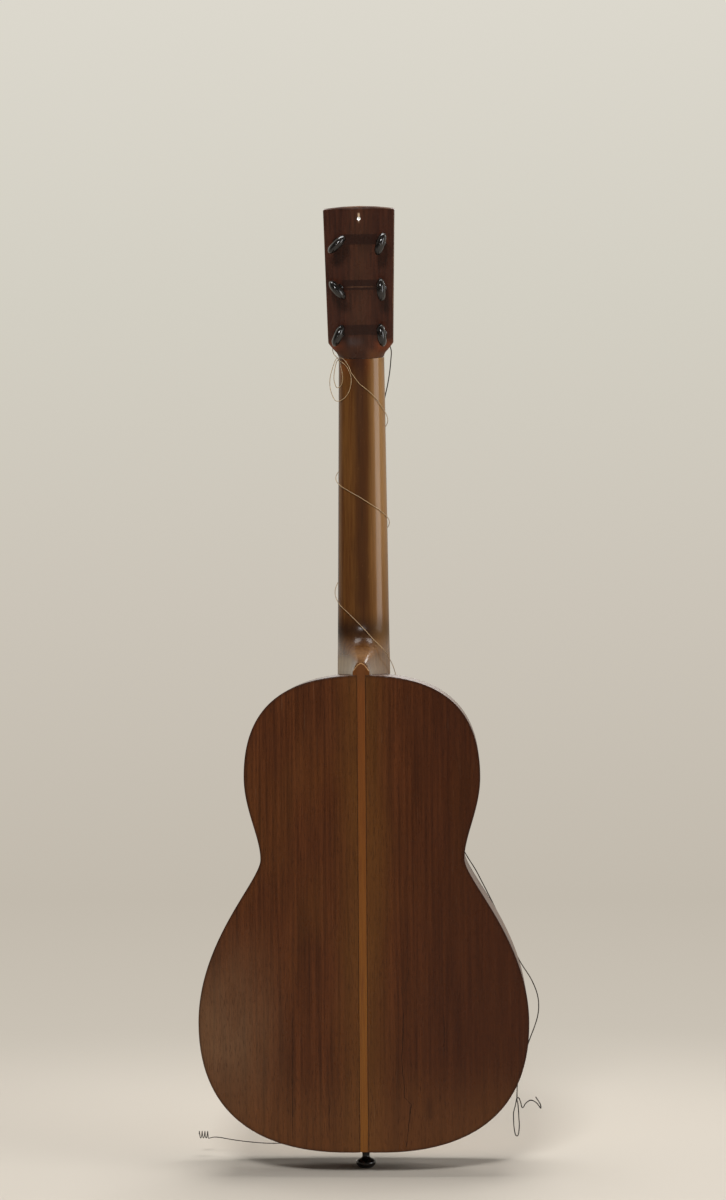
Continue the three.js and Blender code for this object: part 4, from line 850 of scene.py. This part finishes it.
def head():
    """Slab whose sections go from the neck's half ellipse to a square with rounded edges, closed by a
    rounded edge along the crowned top, with the peg holes and the hanging hole cut through. The mark
    "worn" is 1 along its edges."""
    top = HEAD_LENGTH - HEAD_CROWN
    z = np.concatenate([np.linspace(0, 0.034, 30), np.linspace(0.04, top - HEAD_END_ROUNDING, 28)])
    stations = np.array([0, 0.0075, 0.015, 0.024, 0.033])
    power = np.exp(np.interp(z, stations, np.log([2, 2.8, 4.5, 9, 18])))[:, None]
    reach = np.interp(z, stations, [0.023, 0.030, 0.0339, 0.0396, 0.0439])[:, None]
    half = head_half(z)[:, None]
    edge = HEAD_ROUNDING * np.clip(z / 0.02, 0, 1)[:, None]
    x = -(half - edge) * np.cos(np.linspace(0, pi, 49))
    y = -HEAD_THICKNESS * (1 - np.minimum(1, np.abs(x) / reach)**power)**(1 / power)
    side_y = y[:, -1:]
    flank = [(-half, -0.6 * edge + (side_y + edge + 0.6 * edge) * share, 0.5) for share in (0.15, 0.6, 0.9)]
    flank += [(-half + edge * gone, side_y + edge * left, 1) for left, gone in rounded(20, 50, 75)]
    back = [(x[:, [i]], y[:, [i]], 1 if i in (0, 48) else 0) for i in range(49)]
    face = [((half - 0.6 * edge) * share, 0 * half, 0) for share in (1, 0.5, 0, -0.5, -1)]
    columns = [*flank, *back, *((-x, y, worn) for x, y, worn in flank[::-1]), *face]
    x, y, worn = zip(*columns)
    loops = stacked(np.hstack(x), np.hstack(y), z[:, None])
    last, middle = loops[-1], np.array([0, -HEAD_THICKNESS / 2])
    closing = []
    for left, gone in rounded(20, 45, 70, 90):
        ring = last.copy()
        inwards = 1 - HEAD_ROUNDING * gone / np.maximum(np.abs(last[:, :2] - middle).max(axis=1), 0.006)
        ring[:, :2] = middle + (last[:, :2] - middle) * inwards[:, None]
        crown = HEAD_CROWN * (1 - (ring[:, 0] / HEAD_TOP_HALF)**2)
        ring[:, 2] = top - HEAD_END_ROUNDING * left + crown
        closing.append(ring)
    points, faces = skin(np.concatenate([loops, np.stack(closing)]))
    piece = piece_from("peg_head", in_head(points), faces)
    mark(piece, "worn", [*worn * len(loops), *[1] * (4 * len(worn)), 0, 0.6])
    holes = [turned([(HANGING_HOLE_RADIUS, -0.03), (HANGING_HOLE_RADIUS, 0.01)], 0, HANGING_HOLE_RISE, 24)]
    widening = 0.005 * (PEG_RADIUS_AT_BACK - PEG_RADIUS_AT_FACE) / HEAD_THICKNESS
    taper = [(PEG_RADIUS_AT_BACK + GLUE_LINE + widening, -HEAD_THICKNESS - 0.005),
             (PEG_RADIUS_AT_FACE + GLUE_LINE - widening, 0.005)]
    for x, _, z in map(peg_seat, PEG_SEATS):
        holes.append(turned(taper, x, z, 32))
    return cut(piece, *[(in_head(points), faces) for points, faces in holes])


def fret_rise(number):
    return NUT_FRONT - SCALE_LENGTH * (1 - 2**(-number / 12))


def fingerboard():
    """Tapered board with rounded edges: its section is carried from its foot to the nut."""
    foot, top = fret_rise(FRET_COUNT) - FINGERBOARD_PAST_FRETS, NUT_FRONT - GLUE_LINE
    edge = FINGERBOARD_ROUNDING
    z = np.array([foot, foot + edge, (foot + top) / 2, top])[:, None]
    half = neck_half(z) - edge * np.array([1, 0, 0, 0])[:, None]
    x = (half - edge * np.array([0, 0, 1, 1, 0, 0])) * [-1, -1, -1, 1, 1, 1]
    flank = [FINGERBOARD_SEAT, FINGERBOARD_FACE - edge, FINGERBOARD_FACE]
    return piece_from("fingerboard_with_soft_edges", *skin(stacked(x, flank + flank[::-1], z)), sharp=60)


def frets():
    """Half-round bars across the board, with domed ends."""
    bars = []
    across = np.array([-1, -0.995, -0.98, 0, 0.98, 0.995, 1])[:, None]
    dome = np.array([0.35, 0.75, 1, 1, 1, 0.75, 0.35])[:, None]
    angle = np.linspace(0, pi, 13)
    for rise in map(fret_rise, range(1, FRET_COUNT + 1)):
        x = across * (neck_half(rise) - FRET_INSET)
        y = FINGERBOARD_FACE + FRET_HEIGHT * dome * np.sin(angle)
        bars.append(skin(stacked(x, y, rise + FRET_WIDTH / 2 * np.cos(angle))))
    return piece_from("frets", *join(*bars))


def softened(node, edge):
    """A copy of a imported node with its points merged, its flat facets joined and its edges rounded."""
    source = bpy.data.objects[node]
    mesh = source.data.copy()
    mesh.transform(source.matrix_world)
    work = bmesh.new()
    work.from_mesh(mesh)
    bmesh.ops.remove_doubles(work, verts=work.verts, dist=0.00001)
    bmesh.ops.dissolve_limit(work, angle_limit=radians(1), verts=work.verts, edges=work.edges)
    work.to_mesh(mesh)
    work.free()
    piece = add_object(node + "_with_soft_edges", mesh)
    bevel = piece.modifiers.new("edge", "BEVEL")
    bevel.width, bevel.segments, bevel.limit_method, bevel.angle_limit = edge, 2, "ANGLE", radians(35)
    return bake(piece, 30)


def make_neck():
    settle(neck(), NECK_WOOD, "neck")
    settle(head(), HEAD_WOOD, "head")
    settle(fingerboard(), BLACK_WOOD, "fingerboard")
    bars = frets()
    bars.data.materials.append(FRET_METAL[0])
    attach(bars, BODY)
    for node, look, edge in [("nut", BONE, 0.0003), ("saddle", BONE, 0.0003), ("bridge", BLACK_WOOD, 0.0006)]:
        settle(softened(node, edge), look, node)


# ---- turned pieces

PEG_TURNS = {"e": 24, "B": -41, "G": 45, "D": 18, "A": -3, "E": -8}
PEG_PROFILE = MM * np.array([
    (0.4, -34), (3.2, -33), (3.3, -27), (3.1, -23), (3.3, -20.6), (4.2, -19.3), (4.9, -18.8), (5.1, -18.2),
    (5.0, -17.5), (4.8, -17.3), (4.3, -17.2), (3.7, 0), (3.3, 12.4), (3.0, 13.4), (2.0, 14.2), (0.3, 14.48)])
PIP_PROFILE = MM * np.array([(0.2, -43.1), (0.6, -42.95), (0.95, -42.5), (1.1, -41.6), (0.2, -40.5)])
THUMB_CENTRE, THUMB_HALF_HEIGHT, THUMB_HALF_WIDTH = -0.0326, 0.009, 0.0115
THUMB_PROFILE = [
    (0.04, 3.6), (0.18, 3.66), (0.3, 3.92), (0.42, 4.2), (0.52, 4.24), (0.62, 4.04), (0.72, 3.62),
    (0.81, 3.06), (0.89, 2.4), (0.95, 1.65), (0.985, 0.95), (1, 0.35)]
PIN_PROFILE = MM * np.array([
    (0.3, -21), (1.7, -20.9), (1.9, -20.5), (2.5, -3.7), (2.5, 0.3), (3.1, 0.32), (3.5, 0.9), (3.7, 2.2),
    (3.55, 3.3), (2.9, 4.6), (1.9, 5.5), (0.3, 6.0)])
BUTTON_PROFILE = MM * np.array([
    (0.3, 0), (5.8, 0), (6.4, 0.12), (7.4, 0.8), (8.9, 2.5), (9.7, 3.8), (9.88, 4.8), (9.65, 6.0), (9.0, 7.1),
    (7.6, 8.1), (5.6, 8.9), (4.2, 9.7), (3.62, 10.9), (3.6, 12.2), (3.9, 14.2), (4.6, 16.4), (5.4, 18.4),
    (6.3, 20.6), (6.9, 22.3), (7, 22.8), (7, 23.6), (3.8, 23.7), (3.3, 39)])
WINDING_TURNS, WINDING_GAP, WINDING_START, WINDING_LEAD = 3, 0.00055, 0.0062, 0.0036


def thumb():
    """Dished oval: loops of the same oval, from the middle of one hollow face over the rounded rim to
    the middle of the other."""
    share, x = np.array(THUMB_PROFILE + [(share, -x) for share, x in THUMB_PROFILE[::-1]]).T[:, :, None]
    angle = circle(64)
    y = THUMB_CENTRE + THUMB_HALF_HEIGHT * share * np.sin(angle)
    return skin(stacked(x * MM, y, THUMB_HALF_WIDTH * share * np.cos(angle)))


def peg(string):
    """Shank, collar and post turned about Y, a dished oval behind them and a pip at its end."""
    points, faces = join(turned(PEG_PROFILE), thumb(), turned(PIP_PROFILE, sides=24))
    turn = np.array(Matrix.Rotation(radians(PEG_TURNS[string]), 3, "Y"))
    return piece_from("peg_of_" + string, in_head(points @ turn.T + peg_seat(string)), faces, 35)


def length_along(line):
    return np.concatenate([[0], np.cumsum(np.linalg.norm(np.diff(line, axis=0), axis=1))])


def evenly(line, step):
    """The same line with points a step apart."""
    along = length_along(line)
    at = np.linspace(0, along[-1], max(2, round(along[-1] / step)))
    return stacked(*(np.interp(at, along, values) for values in line.T))


def tube(line, diameter, sides):
    """A round section carried along a line. Each section is the one before, turned by the least that
    follows the line."""
    tangents = np.gradient(line, axis=0)
    tangents /= np.linalg.norm(tangents, axis=1)[:, None]
    across = np.cross(tangents[0], np.eye(3)[np.argmin(np.abs(tangents[0]))])
    frames = []
    for tangent in tangents:
        across = across - tangent * (across @ tangent)
        across = across / np.linalg.norm(across)
        frames.append(across)
    upward = np.cross(tangents, frames)[:, None]
    angle = circle(sides)[:, None]
    return line[:, None] + diameter / 2 * (np.array(frames)[:, None] * np.cos(angle) + upward * np.sin(angle))


def string_piece(name, line, string, sides=10):
    """A string along a line, marked with the distance along it."""
    piece = piece_from(name, *skin(tube(line, STRING_DIAMETERS[string], sides)), sharp=60)
    along = length_along(line)
    mark(piece, "along", np.concatenate([np.repeat(along, sides), along[[0, -1]]]))
    return piece


def wire_of(string):
    return WOUND_WIRE if string in WOUND_STRINGS else GUT


def arrival(string):
    """The side of its post on which a string comes in, and the radius of its turns."""
    side = PEG_SEATS[string][0] * (1 if string in "eE" else -1)
    return side, PEG_POST_RADIUS + 2 * GLUE_LINE + STRING_DIAMETERS[string] / 2


def winding(string):
    """A straight lead up to the post, then a helix round it towards the head."""
    side, radius = arrival(string)
    around = 2 * pi * radius
    along = np.linspace(-WINDING_LEAD, WINDING_TURNS * around, 220)
    past = np.maximum(along, 0)
    rise = np.where(along < 0, along, radius * np.sin(past / radius))
    pitch = STRING_DIAMETERS[string] + WINDING_GAP
    line = stacked(side * radius * np.cos(past / radius), WINDING_START - pitch * past / around, rise)
    return string_piece("turns_of_" + string, in_head(line + peg_seat(string)), string)


def taut_string(string):
    """A straight run from the pin over the saddle and through the nut to the peg."""
    clear = STRING_DIAMETERS[string] / 2 + GLUE_LINE
    at_bridge, at_nut = across_at(string, PIN_SPACING), across_at(string, STRING_SPACING_AT_NUT)
    side, radius = arrival(string)
    bends = np.array([
        (at_bridge, BRIDGE_TOP + clear, PIN_RISE + 0.0037 + 2 * clear),
        (at_bridge, SADDLE_TOP + clear, SADDLE_RISE - 0.0013),
        (at_nut, NUT_TOP + GLUE_LINE, NUT_FRONT + 0.0025),
        in_head(peg_seat(string) + [side * radius, WINDING_START, -WINDING_LEAD])])
    last = bends[-2] - bends[-1]
    bends[-1] += last / np.linalg.norm(last) * GLUE_LINE
    return string_piece(f"string_{string}_taut", evenly(bends, 0.002), string)


def make_turned_pieces():
    for string in STRINGS:
        peg_body = f"peg_{string}_body"
        settle(peg(string), BLACK_WOOD, "peg_" + string, body=peg_body)
        if string != "A":
            settle(winding(string), wire_of(string), "winding_" + string, body=peg_body)
        if string in TAUT_STRINGS:
            settle(taut_string(string), wire_of(string), "string_" + string)
        points, faces = turned(PIN_PROFILE, across_at(string, PIN_SPACING), PIN_RISE, 32)
        pin = piece_from("bridge_pin_of_" + string, points + [0, BRIDGE_TOP, 0], faces)
        settle(pin, BLACK_WOOD, "bridge_pin_" + string, body=f"bridge_pin_{string}_body")
    points, faces = turned(BUTTON_PROFILE, sides=72)
    button = piece_from("end_button_turned", points[:, [0, 2, 1]] * [1, -1, 1], faces)
    settle(button, BUTTON_WOOD, "end_button", body="end_button_body")


make_body()
make_neck()
make_turned_pieces()

# ---- loose strings, in millimetres

BASS_ROUTE = [
    (25.95, 47.6, 828.2), (27.6, 48.2, 821), (30, 49.2, 812.8), (29.5, 50.6, 803.6), (28.2, 52, 791.9),
    (25.9, 53.1, 778.6), (23, 53.6, 766), (20.4, 53.6, 751), (17.8, 53.4, 722), (16.6, 53.4, 680),
    (16.2, 53.4, 630), (16, 53.4, 570), (17.6, 53.4, 515), (25, 53.4, 472), (42, 52.4, 434),
    (63, 50.6, 390), (83, 49.4, 342), (94, 48.8, 318), (102.6, 48.6, 302.3), (110.5, 48.6, 289.6),
    (117.3, 48.6, 276.6), (130, 49.2, 251), (143, 49.4, 222), (154.5, 49.2, 197), (166.5, 48.6, 177.5),
    (172.2, 48, 162.5), (173.3, 47.6, 150.7), (172, 47.4, 140.7), (168.9, 47.4, 130.7), (164, 47.8, 118),
    (157.6, 48.4, 99), (152.6, 48.8, 82), (151, 48.4, 68), (150.7, 48.2, 58.9), (150.5, 48.1, 58.2),
    (149.1, 47.3, 51.5), (147.3, 46.8, 44.5), (147.2, 46.5, 36.5), (147.7, 46.4, 28.9), (149.5, 46.5, 21.4),
    (151.1, 47, 21), (152.9, 48, 30), (152.6, 49.3, 37.5), (152.3, 50.6, 45.5), (151.7, 51.4, 52.5),
    (150.9, 51.9, 57.9), (152.6, 51.7, 58.1), (154.6, 51.2, 53.5), (156, 50.8, 48.5), (157.2, 50.8, 48.9),
    (159.5, 50.6, 52.9), (164.9, 50.2, 56.1), (170.5, 49.8, 53.5), (174.7, 49.4, 48.1), (174.5, 49.4, 51.5),
    (169.6, 50.8, 59.5)]
WIDE_LOOP_ROUTE = [
    (16.2, 58.6, 169.9), (16.2, 58.7, 172.5), (16.4, 58.2, 177), (17.4, 54.6, 186), (21, 50.6, 200),
    (31, 48.4, 223), (52, 48, 242), (78, 48, 244), (98, 48, 227), (109, 48, 198), (109, 48, 162),
    (98, 48, 122), (78, 48, 86), (48, 48, 56), (10, 48, 33), (-30, 48, 20), (-62, 48, 14.6),
    (-97.1, 48, 13.2), (-115.7, 48, 14.3), (-130.9, 48, 16), (-142.6, 48, 17.9), (-150, 48.1, 19.2),
    (-156, 48.2, 19.4), (-159.6, 48.3, 18.5), (-161, 48.3, 18.2), (-161.5, 48.3, 19.4)]
CURL_RADIUS, CURL_TURNS, CURL_PITCH, CURL_LEAD = 3.3, 3.5, 2.8, 1.8
LOOPED_ROUTE = [
    (-25.9, 47.4, 828.2), (-27.4, 47, 822), (-29, 44.5, 815), (-27.4, 40, 809), (-23.2, 37.4, 803.9),
    (-20, 36.4, 794), (-18.6, 34.7, 785.1), (-20.5, 36.6, 777.2), (-24.4, 37.6, 775.1), (-27.4, 37.6, 782.1),
    (-26.6, 36.6, 793.6), (-23.4, 34.8, 802.3), (-18.6, 33.6, 800), (-12.8, 30.4, 792.9), (-9.9, 29.4, 782.9),
    (-11.8, 30, 771.7), (-17.6, 33.2, 763.9), (-25.4, 37, 761.7), (-30.4, 37.4, 770.6), (-31.6, 35.6, 782.1),
    (-28.6, 33.6, 794.7), (-23.8, 32, 804.4), (-18.2, 31.2, 803.5), (-11.6, 28.6, 794.3), (-9.4, 28.1, 788.4),
    (-8.8, 28, 787.8), (-1, 27.4, 777.6), (7.3, 28, 770.9), (15.5, 31.2, 762.7), (20.6, 36, 754.7),
    (24.9, 45, 747.6), (25.6, 53.6, 741), (21.4, 56, 734), (12, 56.2, 726), (-6, 56.2, 710), (-20, 55.6, 697),
    (-26.8, 47, 686.2), (-23.5, 35.4, 678), (-13.5, 29, 671), (-1.8, 26.2, 664.2), (8, 27.2, 657.9),
    (17, 31.2, 652), (22.8, 37, 647), (26.4, 46, 642), (25.6, 54, 636), (12, 56.8, 621), (-8, 56.8, 600),
    (-24.4, 54.6, 582), (-28.6, 47, 570), (-24, 34, 558), (-14, 25.4, 548), (0, 21, 534), (11, 16, 522),
    (20.8, 17, 512), (26, 29, 503), (29.4, 43, 495), (33, 54.6, 483), (40, 53.6, 468), (50, 51, 450)]


def catmull_rom(route, steps=24):
    """The smooth line through a route's points: on each stretch a cubic whose end tangents come from the
    neighbouring points, with knots spaced by the square root of their distance."""
    points = np.array(route, float)
    p = np.vstack([2 * points[0] - points[1], points, 2 * points[-1] - points[-2]])
    knot = np.sqrt(np.linalg.norm(np.diff(p, axis=0), axis=1))[:, None]
    before, here, after = knot[:-2], knot[1:-1], knot[2:]
    x0, x1, x2, x3 = p[:-3], p[1:-2], p[2:-1], p[3:]
    leave = ((x1 - x0) / before - (x2 - x0) / (before + here) + (x2 - x1) / here) * here
    arrive = ((x2 - x1) / here - (x3 - x1) / (here + after) + (x3 - x2) / after) * here
    t = (np.arange(steps) / steps)[None, :, None]
    x1, x2, leave, arrive = (value[:, None] for value in (x1, x2, leave, arrive))
    bend, turn = 3 * (x2 - x1) - 2 * leave - arrive, 2 * (x1 - x2) + leave + arrive
    line = x1 + leave * t + bend * t**2 + turn * t**3
    return np.vstack([line.reshape(-1, 3), points[-1]])


def curl_after(end):
    """Helix along -X that starts at the route's end: Y and Z turn about the axis as X falls by one pitch
    for each turn."""
    angle = np.linspace(0, 2 * pi * CURL_TURNS, round(CURL_TURNS * 40))
    return stacked(
        end[0] - CURL_PITCH * angle / (2 * pi), end[1] + CURL_RADIUS * (1 - np.cos(angle)),
        end[2] + CURL_LEAD + CURL_RADIUS * np.sin(angle))


def loose_string(name, line, string, *nodes):
    """A string that has come off, as a cord from the piece that still holds it to its bare end."""
    line = evenly(line * MM, 0.0006)
    piece = string_piece(name, line, string, 8)
    settle(piece, wire_of(string), *nodes)


def make_loose_strings():
    bass, wide, looped = map(catmull_rom, (BASS_ROUTE, WIDE_LOOP_ROUTE, LOOPED_ROUTE))
    wide = np.vstack([wide, curl_after(wide[-1])])
    loose_string("string_E_off_bridge", bass, "E", "string_E_loose", "string_E_kinked_end")
    loose_string("string_A_off_peg", wide, "A", "string_A_loose", "string_A_curl")
    loose_string("string_e_off_bridge", looped, "e", "string_e_looped", "string_e_wound_round_neck")


make_loose_strings()

# ---- floor, backdrop and light

STAGE_HALF = 30.0
BACKDROP_TONES = [
    (0.0, (220, 216, 205)), (0.25, (211, 207, 195)), (0.5, (203, 196, 184)), (0.75, (194, 186, 173)),
    (0.9, (204, 196, 183)), (1.0, (204, 196, 184))]


def backdrop_tone(look, drop):
    """The backdrop's colour where the sight line drops by this much for each metre that it goes."""
    seen_height = drop * (CAMERA_DISTANCE / VIEW_HEIGHT) + 0.5
    return look.node("ValToRGB", {"Fac": seen_height}, stops=BACKDROP_TONES)


def seen_rays(look, behind):
    """1 for the camera's rays, and for rays that metal or varnish sends behind the object."""
    glossy, through = (look.node("LightPath", output=f"Is {kind} Ray") for kind in ("Glossy", "Transmission"))
    return (glossy + through) * behind + look.node("LightPath", output="Is Camera Ray")


def floor_look():
    """Pale paper that takes light and shadow near the object, and shows the backdrop's tones far off."""
    look = Look("stage")
    x, y, z = look.axes()
    paper = look.node("BsdfDiffuse", {"Color": rgb(205, 197, 185)})
    tone = backdrop_tone(look, CAMERA_HEIGHT / (y.larger(0) + (CAMERA_DISTANCE + FACE)))
    glow = look.node("Emission", {"Color": tone, "Strength": 1.0})
    far = (x * x * 0.4 + y * y).math("SQRT").rise(0.3, 0.9) * seen_rays(look, y.rise(0.2, 0.6))
    look.node("OutputMaterial", {"Surface": look.node("MixShader", {0: far, 1: paper, 2: glow})})
    return look.material


def make_floor():
    mesh = bpy.data.meshes.new("floor")
    corners = [(x * STAGE_HALF, y * STAGE_HALF, 0) for x, y in ((-1, -1), (1, -1), (1, 1), (-1, 1))]
    mesh.from_pydata(corners, [], [(0, 1, 2, 3)])
    floor = add_object("floor", mesh)
    mesh.materials.append(floor_look())


def make_room():
    """A dim room that shows the backdrop's tones to the camera, and behind the object to what shines."""
    look = Look("room", holder=bpy.data.worlds.new("room"))
    across, ahead, up = look.axes("Generated")
    level = (across * across + ahead * ahead).math("SQRT").larger(0.001)
    pale = look.node("Background", {"Color": backdrop_tone(look, up / level * -1), "Strength": 1.0})
    dim = look.node("Background", {"Color": rgb(68, 66, 61), "Strength": 1.0})
    shown = seen_rays(look, ahead.rise(-0.1, 0.4))
    look.node("OutputWorld", {"Surface": look.node("MixShader", {0: shown, 1: dim, 2: pale})})
    bpy.context.scene.world = look.material


def softbox(name, place, aim, size, power):
    data = bpy.data.lights.new(name, "AREA")
    data.shape = "RECTANGLE"
    data.size, data.size_y = size
    data.energy = power
    lamp = add_object(name, data)
    lamp.location = place
    lamp.rotation_euler = (Vector(aim) - Vector(place)).to_track_quat("-Z", "Y").to_euler()


make_floor()
make_room()
softbox("right_softbox", (2.6, -1.2, 0.95), (0, 0, 0.6), (1.4, 1.9), 40)
softbox("front_softbox", (-0.4, -3.0, 2.35), (0, 0, 0.4), (0.9, 0.5), 84)
softbox("top_softbox", (0, 0.3, 2.9), (0, 0.1, 0), (1.8, 0.9), 50)
softbox("back_softbox", (0.4, 2.4, 1.9), (0, 0, 0.4), (1.8, 1.0), 26)
bpy.context.scene.view_settings.view_transform = "Standard"
